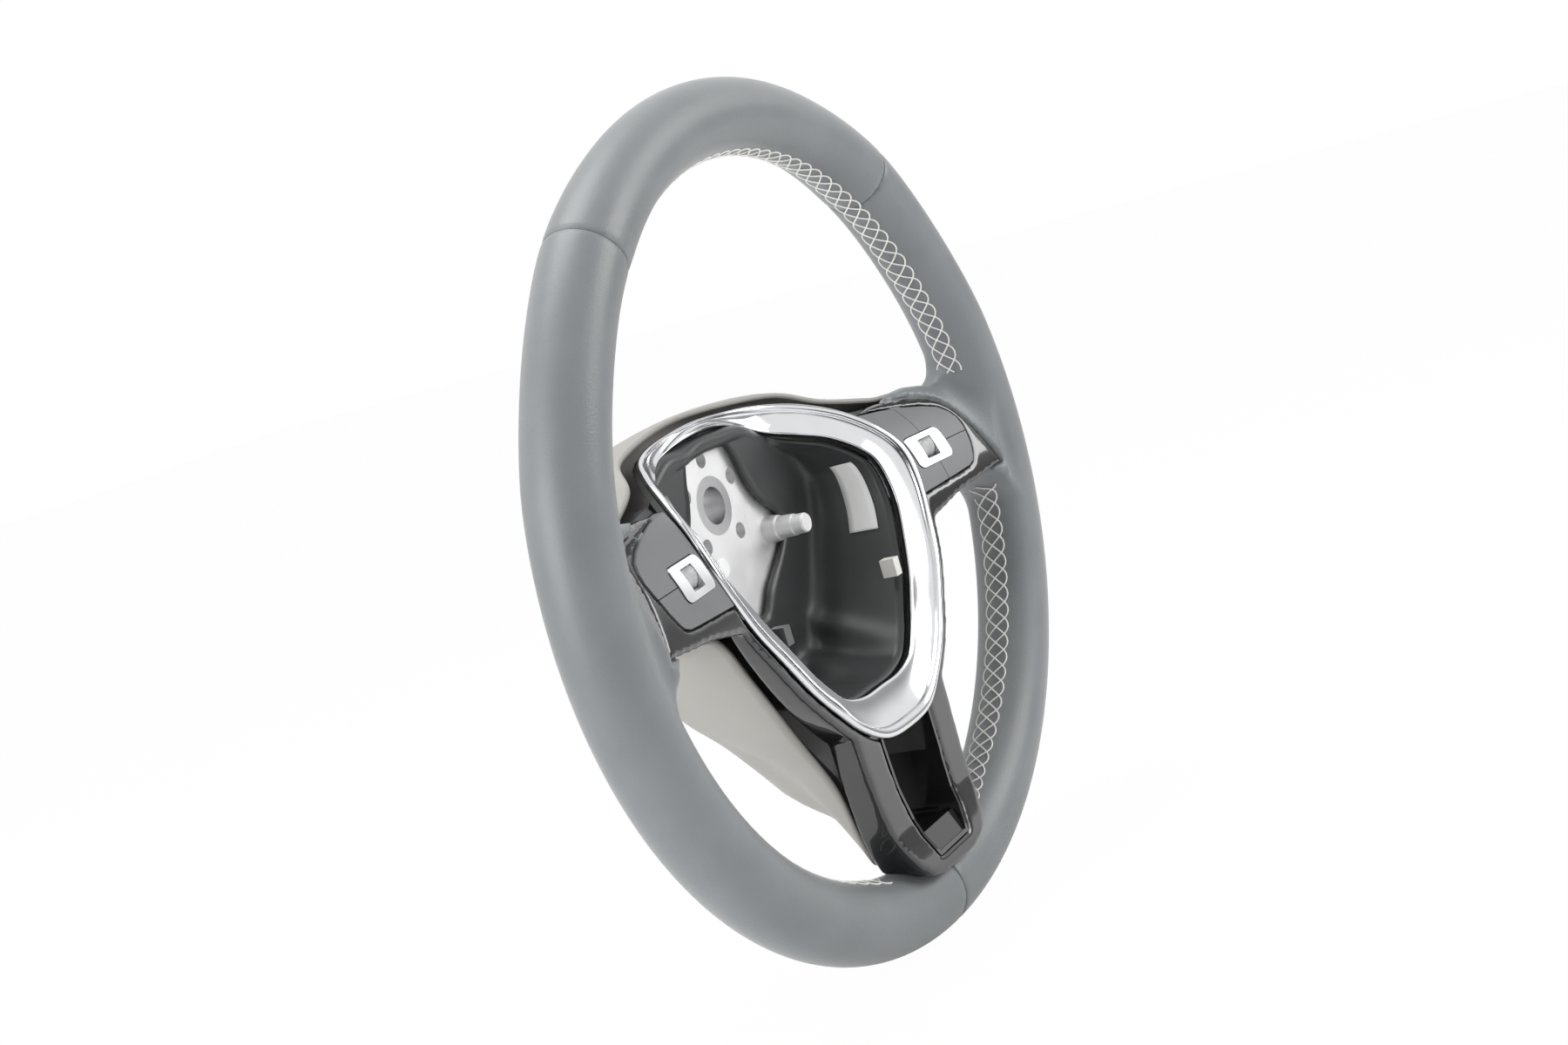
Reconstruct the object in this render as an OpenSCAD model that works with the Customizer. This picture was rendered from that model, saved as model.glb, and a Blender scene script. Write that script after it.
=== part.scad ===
// A three-spoke car steering wheel with a leather rim, an open hub and two banks of thumb switches.
// Rim frame: x to the driver's right, y away from the driver, z up, origin at the rim's centre.
// The finished wheel is moved so that the origin lies on the column bore.

/* [Rim] */
// Outer diameter of the leather rim
rim_d = 370; // [340:1:400]
// Diameter of the leather grip
grip_d = 32.2; // [28:0.2:36]
// Thickness of the leather
leather_t = 1.4; // [1:0.1:2]
// Diameter of the metal core inside the rim
core_d = 12; // [8:0.5:14]
// Angle from the top to the two upper seams
seam_angle = 40.2; // [35:0.1:45]
// Angle from the top to the middle of each thumb rest
thumb_angle = 59; // [57:0.5:62]
// Half the angle that each thumb rest covers
thumb_half_angle = 16; // [12:0.5:16]

/* [Hub] */
// How far the hub face lies behind the rim's middle plane
hub_dish = 52; // [46:1:60]
// How far the column bore lies above the rim's centre
hub_rise = 13; // [8:1:16]
// Radius of the column bore
bore_r = 8.25; // [7:0.05:9]
// Outer radius of the steel insert
insert_r = 13; // [11.5:0.5:14]
// Length of the steel insert
insert_len = 24; // [18:1:28]
// Thickness of the hub plate
hub_plate_t = 8; // [6:0.5:10]
// Radius of the lightening holes round the bore
light_hole_r = 3.6; // [2.5:0.1:4.2]
// Distance of the lightening holes from the bore
light_hole_ring = 20.5; // [19:0.5:22]
// Radius of the two guide posts
post_r = 4; // [3:0.1:5]
// Length of the two guide posts
post_len = 20; // [15:1:24]
// Distance of each guide post from the middle
post_x = 36; // [34:0.5:38]
// Thickness of the cast arms
arm_t = 8; // [6:0.5:10]
// Height of the cast side arms
arm_h = 20; // [16:1:24]

/* [Ring] */
// Half the width of the bright ring
ring_half_w = 89; // [84:0.5:94]
// Reach of the ring below the rim's centre
ring_down = 96; // [90:0.5:100]
// Reach of the ring above the rim's centre
ring_up = 49.5; // [46:0.5:53]
// How far the ring's top lies behind the rim's middle plane
ring_back = 51; // [47:0.5:54]
// How far the ring's foot lies ahead of the rim's middle plane
ring_front = 13.5; // [12:0.5:15]
// Wall of the bright ring
ring_wall = 2.2; // [1.6:0.1:3]
// Height of the ring's raised outer lip
lip_h = 1.1; // [0.6:0.1:1.6]

/* [Spoke face] */
// Distance of each spoke's outer corner from the middle
wing_reach = 150; // [146:0.5:154]
// Height of the spoke face above the rim's centre
wing_rise = 28; // [26:0.5:30]
// Wall of the gloss bezel
bezel_wall = 2.6; // [2:0.1:3.2]
// Place where the spoke face crosses the rim's middle plane
face_x = 92; // [88:0.5:96]
// Radius of the face's upper sweep
face_upper_r = 58; // [54:1:64]
// Radius of the face's lower sweep
face_lower_r = 125; // [115:1:140]
// Lean of the face at the rim's middle height
face_lean = 17.75; // [15:0.25:20]
// Turn of the face towards the driver at its outer end
face_turn = 8.5; // [7:0.25:10]

/* [Lower spoke] */
// Half the width of the lower spoke
foot_half_w = 41.5; // [39:0.5:44]
// Reach of the lower spoke below the rim's centre
foot_down = 157; // [154:0.5:159]
// How far the lower spoke's foot stands ahead of the rim's middle plane
foot_front = 19; // [17:0.5:21]
// Half the width of the pocket in the lower spoke
pocket_half_w = 23; // [20:0.5:25]
// Depth of the pocket
pocket_depth = 16; // [12:0.5:18]

/* [Switches] */
// Gap round each button
button_gap = 0.4; // [0.35:0.05:0.6]
// Travel of each button
button_travel = 0.8; // [0.5:0.1:1]
// Thickness of the button caps
button_t = 3; // [2.4:0.1:3.6]
// Width of the silver surround
surround_w = 26; // [24:0.5:28]
// Height of the silver surround
surround_h = 14.5; // [13:0.5:16]
// Radius of the scroll roller
roller_r = 6.2; // [5.8:0.1:6.6]
// Width of the scroll roller
roller_w = 9.6; // [9:0.1:10.2]
// Radius of the roller's pin
pin_r = 1.2; // [1:0.05:1.4]
// Number of ribs round the roller
roller_ribs = 22; // [16:1:30]
// Depth of the switch housing behind the face
housing_depth = 18.5; // [17:0.5:21]
// Wall of the switch housing
housing_wall = 1.6; // [1.2:0.1:2]

/* [Covers] */
// Wall of the rear cover
cover_wall = 2.4; // [2:0.1:3]
// Depth of the rear cover behind the rim's middle plane
cover_depth = 68; // [64:0.5:76]
// Wall of the inner shroud
shroud_wall = 2; // [1.5:0.1:2.5]

/* [Hidden] */
$fn = 96;

// Clearance between pieces that are assembled face to face
fit_gap = 0.2;
// Free play between a moving piece and its neighbours
play = 0.35;
// Running clearance of the roller on its pin
run_gap = 0.05;
// Overrun of every cut
over = 1;

// Middle line of the rim
rim_mid_r = rim_d/2 - grip_d/2;

function cat(a, b, c, d, t) = 0.5 * (2*b + (c - a)*t + (2*a - 5*b + 4*c - d)*t*t
    + (3*b - a - 3*c + d)*t*t*t);
function flip(p) = [-p[0], p[1], p[2]];
// A smooth half curve from the foot to the top, both ends on the middle plane
function smooth_half(p, n) = let (m = len(p), q = concat([flip(p[1])], p, [flip(p[m - 2])]))
    [for (i = [0:m - 2], k = [0:n - 1]) cat(q[i], q[i + 1], q[i + 2], q[i + 3], k / n)];
// The whole loop: up the right-hand side and down the left
function loop(p, n) = let (h = smooth_half(p, n))
    concat(h, [p[len(p) - 1]], [for (i = [len(h) - 1:-1:1]) flip(h[i])]);
function unit(v) = v / norm(v);

// A solid skin through equal rings of points, joined back to the first ring
module tube_skin(rings) {
    m = len(rings);
    n = len(rings[0]);
    polyhedron(points = [for (r = rings, p = r) p],
        faces = [for (i = [0:m - 1], j = [0:n - 1], f = [0, 1])
            let (a = i*n + j, b = i*n + (j + 1) % n, c = ((i + 1) % m)*n + j, d = ((i + 1) % m)*n + (j + 1) % n)
            f == 0 ? [a, b, d] : [a, d, c]]);
}

// An outline in x and z, drawn out along y from y0 to y1
module slab(y0, y1) translate([0, y1, 0]) rotate([90, 0, 0]) linear_extrude(height = y1 - y0) children();
// A profile in y and z, drawn out along x on both sides of the middle
module sweep_x(w) rotate([90, 0, 90]) translate([0, 0, -w]) linear_extrude(height = 2*w) children();
function scaled(shares, w, h) = [for (s = shares) [s[0]*w, s[1]*h]];

// Ring: outer and inner edges from the foot to the top, as shares of its half width, back reach and up reach
ring_outer_share = [[0, -0.265, -1.94], [0.225, -0.26, -1.9], [0.405, -0.245, -1.717], [0.562, -0.235, -1.455],
    [0.686, -0.206, -1.192], [0.814, -0.176, -0.849], [0.91, -0.118, -0.525], [0.978, -0.06, -0.162],
    [1, 0.02, 0.141], [0.958, 0.165, 0.384], [0.868, 0.405, 0.626], [0.735, 0.667, 0.808],
    [0.562, 0.882, 0.919], [0.315, 0.98, 0.98], [0, 1, 1]];
ring_inner_share = [[0, -0.11, -1.535], [0.18, -0.11, -1.53], [0.331, -0.102, -1.455], [0.427, -0.088, -1.303],
    [0.506, -0.069, -1.131], [0.607, -0.049, -0.869], [0.713, 0, -0.545], [0.798, 0.059, -0.222],
    [0.831, 0.157, 0.101], [0.803, 0.265, 0.283], [0.725, 0.47, 0.465], [0.618, 0.647, 0.576],
    [0.511, 0.843, 0.677], [0.33, 0.95, 0.84], [0, 0.9, 0.945]];
// Shares that the front and the foot of the ring have in both tables
ring_front_share = 0.265;
ring_foot_share = 1.94;
function ring_pt(s) = [s[0]*ring_half_w, s[1] < 0 ? s[1]*ring_front/ring_front_share : s[1]*ring_back,
    s[2] < 0 ? s[2]*ring_down/ring_foot_share : s[2]*ring_up];
ring_steps = 3;
ring_outer = loop([for (s = ring_outer_share) ring_pt(s)], ring_steps);
ring_inner = loop([for (s = ring_inner_share) ring_pt(s)], ring_steps);
// Section of the ring: share of the way from its outer to its inner edge, and height off that line
ring_section = [[0, 0], [0.05, lip_h*0.8], [0.15, lip_h], [0.24, lip_h*0.7], [0.27, -lip_h*0.4], [0.6, -lip_h*0.9],
    [0.94, -lip_h*0.2], [1, -lip_h*0.6], [1, -ring_wall], [0.1, -ring_wall]];
function ring_normal(i) = let (n = len(ring_outer), t = ring_outer[(i + 1) % n] - ring_outer[(i + n - 1) % n],
    v = cross(t, ring_inner[i] - ring_outer[i])) unit(v);
function band_rings(section) = [for (i = [0:len(ring_outer) - 1]) let (o = ring_outer[i], a = ring_inner[i] - o,
    n = ring_normal(i)) [for (s = section) o + a*s[0] + n*s[1]]];
// A closed outline grown outward by a distance, or shrunk by a negative one
function around(p) = [for (i = [0:len(p) - 1]) let (q = p[(i + 1) % len(p)]) p[i][0]*q[1] - q[0]*p[i][1]];
function grow(p, d) = let (n = len(p), way = d*sign(around(p)*[for (q = p) 1])) [for (i = [0:n - 1])
    let (a = unit(p[i] - p[(i + n - 1) % n]), b = unit(p[(i + 1) % n] - p[i]), u = [a[1], -a[0]], v = [b[1], -b[0]])
        p[i] + way*(u + v)/(1 + u*v)];
// Outline of the ring seen from the front, grown by a gap
module ring_outline(gap) polygon(grow([for (p = ring_outer) [p[0], p[2]]], gap));

module ring_trim() color([0.85, 0.86, 0.88]) tube_skin(band_rings(ring_section));

carrier_wall = bezel_wall;
carrier_top = -ring_wall - 2*fit_gap;
carrier_from_share = 0.2;
carrier_to_share = 0.95;
module ring_carrier() color([0.05, 0.05, 0.05]) tube_skin(band_rings([[carrier_from_share, carrier_top],
    [carrier_to_share, carrier_top], [carrier_to_share, carrier_top - carrier_wall],
    [carrier_from_share, carrier_top - carrier_wall]]));

// The spoke face on the right: the space behind it, set back by a depth. Two tangent sweeps make its curve.
face_seat = 0.6;
module face_profile(depth) {
    tall = rim_d;
    intersection() {
        translate([face_upper_r*cos(face_lean) - face_seat, -face_upper_r*sin(face_lean)])
            circle(r = face_upper_r - depth);
        translate([-tall, 0]) square([2*tall, tall]);
    }
    intersection() {
        translate([face_lower_r*cos(face_lean) - face_seat, -face_lower_r*sin(face_lean)])
            circle(r = face_lower_r - depth);
        translate([-tall, -tall]) square([2*tall, tall]);
    }
}
module face_solid(depth) translate([face_x, 0, 0]) rotate([0, 0, -face_turn]) sweep_x(rim_d/2) face_profile(depth);
// A layer of the spoke face between two depths, cut to an outline
face_reach_share = 0.7;
module face_layer(d0, d1) difference() {
    intersection() {
        slab(-face_upper_r, face_upper_r*face_reach_share) children();
        face_solid(d0);
    }
    face_solid(d1);
}
module left() mirror([1, 0, 0]) children();

// Places on a side spoke: share of the way from the ring's widest point to the spoke's outer corner, and height
function across(share) = ring_half_w + share*(wing_reach - ring_half_w);
function on_spoke(shares) = [for (s = shares) [across(s[0]), s[1]*wing_rise]];
wing_share = [[-0.23, 1.05], [-0.099, 0.87], [-0.016, 0.964], [0.115, 1], [0.262, 1], [0.427, 0.965],
    [0.589, 0.89], [0.705, 0.79], [0.766, 0.7], [0.811, 0.55], [1, -0.607], [0.343, -0.75],
    [0.048, -0.893], [-0.23, -1]];
module wing_outline(gap) polygon(grow(on_spoke(wing_share), gap));
panel_share = [[-0.23, 0.97], [-0.016, 0.94], [0.164, 0.895], [0.361, 0.82], [0.557, 0.72],
    [0.685, 0.62], [0.754, 0.48], [0.779, 0.36], [0.776, 0.2], [0.737, -0.1], [0.69, -0.29],
    [0.656, -0.375], [0.594, -0.42], [0.459, -0.44], [-0.23, -0.52]];
module panel_outline(gap) polygon(grow(on_spoke(panel_share), gap));
block_x = surround_w/2 + face_x;
block_z = 3.2;
block_corner = 3;
module block_outline(gap) translate([block_x, block_z])
    rounded([surround_w + 2*gap, surround_h + 2*gap], block_corner + gap);
module rounded(size, r) {
    square([size[0] - 2*r, size[1]], center = true);
    square([size[0], size[1] - 2*r], center = true);
    for (x = [-1, 1], z = [-1, 1]) translate([x*(size[0]/2 - r), z*(size[1]/2 - r)]) circle(r = r);
}

// Lower spoke: the space behind its three-sided dome
foot_dome_share = 0.45;
foot_turn = 13;
foot_profile_share = [[-0.6, -0.3], [-0.6, -0.62], [-0.63, -0.75], [-0.7, -0.83], [-0.8, -0.875], [-0.92, -0.93],
    [-1, -0.97], [-1.02, -1.02], [2, -1.02], [2, -0.3]];
module foot_profile(depth) translate([depth, 0]) polygon(scaled(foot_profile_share, foot_front, foot_down));
module foot_solid(depth) intersection() {
    sweep_x(foot_half_w*2) foot_profile(depth);
    for (s = [-1, 1]) translate([s*foot_half_w*foot_dome_share, 0, 0]) rotate([0, 0, s*foot_turn])
        sweep_x(foot_half_w*2) foot_profile(depth);
}

// Front bezel: two wings, the side walls along the ring and the lower spoke, in one moulding
foot_share = [[1.02, -0.5], [1, -0.64], [0.928, -0.828], [0.85, -0.892], [0.74, -0.945], [0.58, -0.982], [0.34, -1]];
function both_sides(p) = concat(p, [for (i = [len(p) - 1:-1:0]) [-p[i][0], p[i][1]]]);
module foot_outline(gap) polygon(grow(both_sides(scaled(foot_share, foot_half_w, foot_down)), gap));
pocket_share = [[1, -0.55], [0.96, -0.72], [0.85, -0.83], [0.8, -0.88], [0.6, -0.95]];
module pocket_outline(gap) polygon(grow(both_sides(scaled(pocket_share, pocket_half_w, foot_down)), gap));
band_w = 5.5;
band_back = 3;
band_top_share = 0.485;
module band_profile(depth) {
    h = floor(len(ring_outer)/2);
    polygon(concat([for (i = [0:h]) [ring_outer[i][1] + depth, ring_outer[i][2]]],
        [[rim_d, ring_outer[h][2]], [rim_d, -rim_d], [ring_outer[0][1] + depth, -rim_d]]));
}
module foot_shell() difference() {
    intersection() {
        slab(-2*foot_front, band_back) foot_outline(0);
        foot_solid(0);
    }
    intersection() {
        slab(-2*foot_front, band_back + over) foot_outline(-bezel_wall);
        foot_solid(bezel_wall);
    }
    slab(-2*foot_front, 0) pocket_outline(fit_gap);
    slab(-2*foot_front, band_back + over) ring_outline(fit_gap);
    tube_sector(grip_d/2 + fit_gap, 0, 360);
}
module side_band() intersection() {
    slab(-ring_front, band_back) difference() {
        ring_outline(band_w);
        ring_outline(fit_gap);
        translate([-rim_d/2, -ring_up*band_top_share]) square([rim_d, rim_d]);
        foot_outline(-over);
    }
    sweep_x(rim_d/2) band_profile(lip_h);
}
module wing() face_layer(0, bezel_wall) difference() {
    wing_outline(0);
    panel_outline(button_gap);
    ring_outline(fit_gap);
}
module front_bezel() color([0.03, 0.03, 0.035]) {
    foot_shell();
    side_band();
    wing();
    left() wing();
}

// Pocket: a blind cup with a sloping lip at its foot
pocket_wall = 1.6;
pocket_sink = 0.4;
lip_share = [[-0.62, -0.885], [-0.9, -0.95], [-1.2, -1], [0.4, -1], [0.4, -0.885]];
module pocket_insert() color([0.02, 0.02, 0.02]) difference() {
    intersection() {
        slab(-2*foot_front, pocket_depth - foot_front*0.6) pocket_outline(0);
        foot_solid(pocket_sink);
    }
    difference() {
        slab(-2*foot_front, pocket_depth - foot_front*0.6 - pocket_wall) pocket_outline(-pocket_wall);
        sweep_x(foot_half_w) polygon(scaled(lip_share, foot_front, foot_down));
    }
    slab(-2*foot_front, foot_front) ring_outline(fit_gap);
    tube_sector(grip_d/2 + fit_gap, 0, 360);
}

// Rim: angles run from the right-hand side towards the top
module tube_sector(r, a0, a1) rotate([90, 0, 0]) rotate([0, 0, a0]) rotate_extrude(angle = a1 - a0)
    translate([rim_mid_r, 0]) circle(r = r);
thumb_ease = leather_t/9;
module thumb_rest(r) rotate([0, thumb_angle - 90, 0]) translate([rim_mid_r*cos(thumb_half_angle), 0, 0])
    cylinder(r = r - thumb_ease, h = 2*rim_mid_r*sin(thumb_half_angle), center = true);
// Root of each side spoke: its upper and lower edges on the spoke, and its end inside the rim
root_top_share = [[0.311, 0.9], [0.311, 1.07], [0.607, 1.09], [0.737, 1.136], [0.82, 1.25], [0.877, 1.43],
    [0.921, 1.68]];
root_end_share = [[0.977, 1.9], [0.995, -1.2]];
root_low_share = [[0.975, -1.15], [0.963, -0.95], [0.951, -0.8], [0.828, -0.7], [0.828, 0.8]];
root_back = 14;
root_outline = concat(on_spoke(root_top_share), scaled(root_end_share, rim_mid_r, wing_rise), on_spoke(root_low_share));
// The fillet above the root, and how far forward it comes
fillet_share = [[0.754, 0.8], [0.766, 1.15], [0.82, 1.25], [0.877, 1.43], [0.921, 1.68]];
fillet_end_share = [[0.977, 1.9], [0.977, 0.8]];
fillet_outline = concat(on_spoke(fillet_share), scaled(fillet_end_share, rim_mid_r, wing_rise));
fillet_from = across(0.754);
fillet_front = [[fillet_from, root_back], [fillet_from, root_back*0.78], [rim_mid_r*0.915, -root_back/20],
    [rim_mid_r, -root_back/20], [rim_mid_r, root_back]];
module spoke_root(inset) {
    intersection() {
        slab(-grip_d, root_back - inset) polygon(grow(root_outline, -inset));
        face_solid(inset + fit_gap);
    }
    intersection() {
        slab(-grip_d, root_back - inset) polygon(grow(fillet_outline, -inset));
        linear_extrude(height = 3*wing_rise, center = true) polygon(grow(fillet_front, -inset));
    }
}
module grip_side(inset, a0, a1) {
    tube_sector(grip_d/2 - inset, a0, a1);
    thumb_rest(grip_d/2 - inset);
    spoke_root(inset);
}
module bezel_recess() slab(-grip_d, rim_d/2) intersection() {
    wing_outline(fit_gap);
    translate([-rim_d, -rim_d]) square(2*rim_d);
}
module under_bezel() difference() {
    bezel_recess();
    face_solid(bezel_wall + fit_gap);
}
seam_gap = 0.1;
glue_gap = 0.15;
module leather_side() difference() {
    grip_side(0, seam_gap - 90, 90 - seam_angle - seam_gap);
    grip_side(leather_t, -90, 90 - seam_angle);
    under_bezel();
    side_arm(fit_gap);
    lower_arm(fit_gap);
}
module leather_top() color([0.35, 0.37, 0.38]) difference() {
    tube_sector(grip_d/2, 90 - seam_angle, 90 + seam_angle);
    tube_sector(grip_d/2 - leather_t, 90 - seam_angle - over, 90 + seam_angle + over);
}
module leather_right() color([0.36, 0.38, 0.39]) leather_side();
module leather_left() color([0.36, 0.38, 0.39]) left() leather_side();
module rim_foam() color([0.2, 0.2, 0.2]) difference() {
    union() {
        tube_sector(grip_d/2 - leather_t - glue_gap, 0, 360);
        for (s = [0, 1]) mirror([s, 0, 0]) {
            thumb_rest(grip_d/2 - leather_t - glue_gap);
            spoke_root(leather_t + glue_gap);
        }
    }
    tube_sector(core_d/2 + glue_gap, 0, 360);
    sleeves(glue_gap);
    for (s = [0, 1]) mirror([s, 0, 0]) {
        side_arm(0);
        under_bezel();
    }
    lower_arm(0);
}

// Armature: two side arms, the lower arm and the hub plate, cast in one piece round the steel rim core
hub_front = hub_dish - 2;
window_share = [[0, -0.808], [0.101, -0.798], [0.146, -0.727], [0.191, -0.626], [0.247, -0.545], [0.326, -0.444],
    [0.427, -0.303], [0.478, -0.162], [0.449, -0.03], [0.36, 0.101], [0.298, 0.242], [0.258, 0.404], [0.23, 0.586],
    [0.169, 0.768], [0, 0.848]];
window_edge = loop([for (s = window_share) [s[0]*ring_half_w, 0, s[1]*ring_up]], ring_steps);
plate_rim = 3.5;
plate_top_share = 0.83;
arm_share = [[0.12, 0.96], [0.43, 0.98], [0.51, 0.72], [0.63, 0.5], [0.79, 0.26], [0.9, 0.04], [1, -0.06]];
arm_z = -6;
function thicken(p, t) = concat(p, [for (i = [len(p) - 1:-1:0])
    let (a = p[max(i - 1, 0)], b = p[min(i + 1, len(p) - 1)], u = unit(b - a)) p[i] + t*[-u[1], u[0]]]);
module side_arm(gap) translate([0, 0, arm_z - arm_h/2 - gap]) linear_extrude(height = arm_h + 2*gap)
    polygon(grow(thicken(scaled(arm_share, rim_mid_r, hub_dish), arm_t), gap));
lower_share = [[0.98, 0.2], [0.98, 0.42], [0.8, 0.5], [0.46, 0.66], [0.1, 0.9], [-0.06, 1]];
lower_arm_w = 18;
module lower_arm(gap) sweep_x(lower_arm_w/2 + gap)
    polygon(grow(thicken([for (s = lower_share) [s[0]*hub_dish, -s[1]*rim_mid_r]], arm_t), gap));
light_angles = [90, 25, 155, 227, 313];
boss_wall = 6;
// The arms are cast round the steel core in short sleeves
sleeve_wall = 3;
sleeve_half_angle = 4;
arm_tilt = 2;
module sleeves(gap) for (a = [-arm_tilt, 180 + arm_tilt, 270])
    tube_sector(core_d/2 + sleeve_wall + gap, a - sleeve_half_angle, a + sleeve_half_angle);
module rim_core() color([0.5, 0.5, 0.52]) tube_sector(core_d/2, 0, 360);
module armature() color([0.86, 0.87, 0.88]) difference() {
    union() {
        sleeves(0);
        for (s = [0, 1]) mirror([s, 0, 0]) {
            side_arm(0);
            translate([post_x, hub_front + over, arm_z - post_r/2]) rotate([90, 0, 0])
                cylinder(r = post_r, h = post_len + over);
        }
        lower_arm(0);
        slab(hub_front, hub_front + hub_plate_t) intersection() {
            polygon(grow([for (p = window_edge) [p[0], p[2]]], plate_rim));
            translate([-ring_half_w, -ring_down]) square([2*ring_half_w, ring_down + ring_up*plate_top_share]);
        }
        cover_spots(hub_front + hub_plate_t - over) cylinder(r = cover_boss_r, h = cover_depth - cover_wall - fit_gap
            - hub_front - hub_plate_t + over);
        translate([0, hub_front + insert_len - over, hub_rise]) rotate([90, 0, 0])
            cylinder(r = insert_r + boss_wall, h = insert_len - 2*over);
    }
    tube_sector(core_d/2 + glue_gap, 0, 360);
    translate([0, hub_front + insert_len + over, hub_rise]) rotate([90, 0, 0])
        cylinder(r = insert_r, h = insert_len + 2*over);
    for (a = light_angles) translate([light_hole_ring*cos(a), hub_front + hub_plate_t + over,
        hub_rise + light_hole_ring*sin(a)]) rotate([90, 0, 0]) cylinder(r = light_hole_r, h = hub_plate_t + 2*over);
    cover_spots(hub_front + hub_plate_t/2) cylinder(r = screw_r, h = cover_depth);
}
// Where the rear cover is screwed to the hub plate, from a depth backwards
screw_share = [[0.18, 0], [0.075, -0.2]];
screw_r = 2;
screw_head_r = 4;
screw_head_t = 2;
cover_boss_r = 5;
module cover_spots(y) for (s = screw_share, m = [-1, 1])
    translate([m*s[0]*wing_reach, y, s[1]*wing_reach]) rotate([-90, 0, 0]) children();
module column_insert() color([0.6, 0.6, 0.6]) translate([0, hub_front + insert_len, hub_rise])
    rotate([90, 0, 0]) difference() {
        cylinder(r = insert_r, h = insert_len);
        translate([0, 0, -over]) cylinder(r = bore_r, h = insert_len + 2*over);
    }

// Switch bank: built on the right and mirrored to the left
split_z = block_z;
split_x = across(0.295);
module button_area() difference() {
    panel_outline(0);
    block_outline(button_gap);
    ring_outline(button_gap + fit_gap);
}
stem_r = 2.2;
stem_len = 4;
module button(x0, x1, up) {
    face_layer(0, button_t) intersection() {
        button_area();
        translate([x0, up ? split_z + button_gap/2 : split_z - button_gap/2 - rim_d]) square([x1 - x0, rim_d]);
    }
}
// Each stem stands under its cap and reaches back to the dome mat
module stem(x, z) face_layer(button_t - fit_gap, button_t + stem_len) translate([x, z]) circle(r = stem_r);
left_edge = across(-0.15);
right_edge = wing_reach;
stem_share = [[0.132, 0.589], [0.508, 0.466], [0.132, -0.257], [0.557, -0.161]];
module stem_of(i) stem(across(stem_share[i][0]), stem_share[i][1]*wing_rise);
module button_paint() color([0.32, 0.33, 0.34]) children();
module button_left_upper() button_paint() left() { button(left_edge, right_edge, true); stem_of(0); stem_of(1); }
module button_left_lower() button_paint() left() { button(left_edge, right_edge, false); stem_of(2); stem_of(3); }
module button_right_upper_inner() button_paint() { button(left_edge, split_x - button_gap/2, true); stem_of(0); }
module button_right_upper_outer() button_paint() { button(split_x + button_gap/2, right_edge, true); stem_of(1); }
module button_right_lower_inner() button_paint() { button(left_edge, split_x - button_gap/2, false); stem_of(2); }
module button_right_lower_outer() button_paint() { button(split_x + button_gap/2, right_edge, false); stem_of(3); }

// Depth of the dome mat behind the face, which leaves the domes room
dome_gap = 1.2;
mat_top = button_t + stem_len + dome_gap;
mat_t = 1.5;
board_t = 1.6;
mat_inset = 2;
surround_proud = 0.6;
surround_depth = button_t + surround_proud;
// What lies under the keys, inside the walls of the housing and clear of the block under the surround
module inner_area(gap) difference() {
    panel_outline(-gap);
    ring_outline(gap + fit_gap);
    block_outline(-fit_gap);
}
module switch_housing() difference() {
    union() {
        face_layer(bezel_wall + fit_gap, bezel_wall + fit_gap + housing_wall) difference() {
            panel_outline(housing_wall*1.5);
            ring_outline(fit_gap);
        }
        face_layer(bezel_wall + fit_gap, button_t + stem_len) difference() {
            panel_outline(button_gap + housing_wall);
            ring_outline(fit_gap);
        }
        face_layer(bezel_wall + over, mat_top + mat_t + board_t + housing_wall) difference() {
            panel_outline(-mat_inset);
            ring_outline(fit_gap);
        }
        face_layer(bezel_wall + over, housing_depth) block_outline(-fit_gap);
    }
    face_layer(0, button_t + stem_len - housing_wall) difference() {
        panel_outline(button_gap);
        ring_outline(0);
        block_outline(-fit_gap);
    }
    face_layer(0, mat_top + mat_t + board_t) inner_area(mat_inset + housing_wall);
    face_layer(-over, surround_depth) block_outline(fit_gap);
    roller_well();
}
module dome_mat() face_layer(mat_top, mat_top + mat_t) difference() {
    inner_area(mat_inset + housing_wall + fit_gap);
    block_outline(fit_gap);
}
module switch_board() face_layer(mat_top + mat_t, mat_top + mat_t + board_t) difference() {
    inner_area(mat_inset + housing_wall + fit_gap);
    block_outline(fit_gap);
}
window_share_h = 0.72;
module surround() difference() {
    face_layer(-surround_proud, surround_depth) block_outline(0);
    at_roller() {
        cube([roller_w + 2*play, 4*roller_r, 2*roller_r*window_share_h], center = true);
        rotate([0, 90, 0]) cylinder(r = roller_r + play, h = roller_w + 2*play, center = true);
        rotate([0, 90, 0]) cylinder(r = pin_r + fork_wall + play, h = fork_reach, center = true);
    }
}
// Roller: a waisted, ribbed drum on a steel pin, held by a fork that presses in
roller_proud = 0.4;
roller_y = roller_r - roller_proud;
waist = 0.7;
module at_roller() translate([face_x, 0, 0]) rotate([0, 0, -face_turn]) translate([block_x - face_x, roller_seat_y(), block_z])
    children();
function roller_seat_y() = roller_y + face_lift(block_z);
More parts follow.
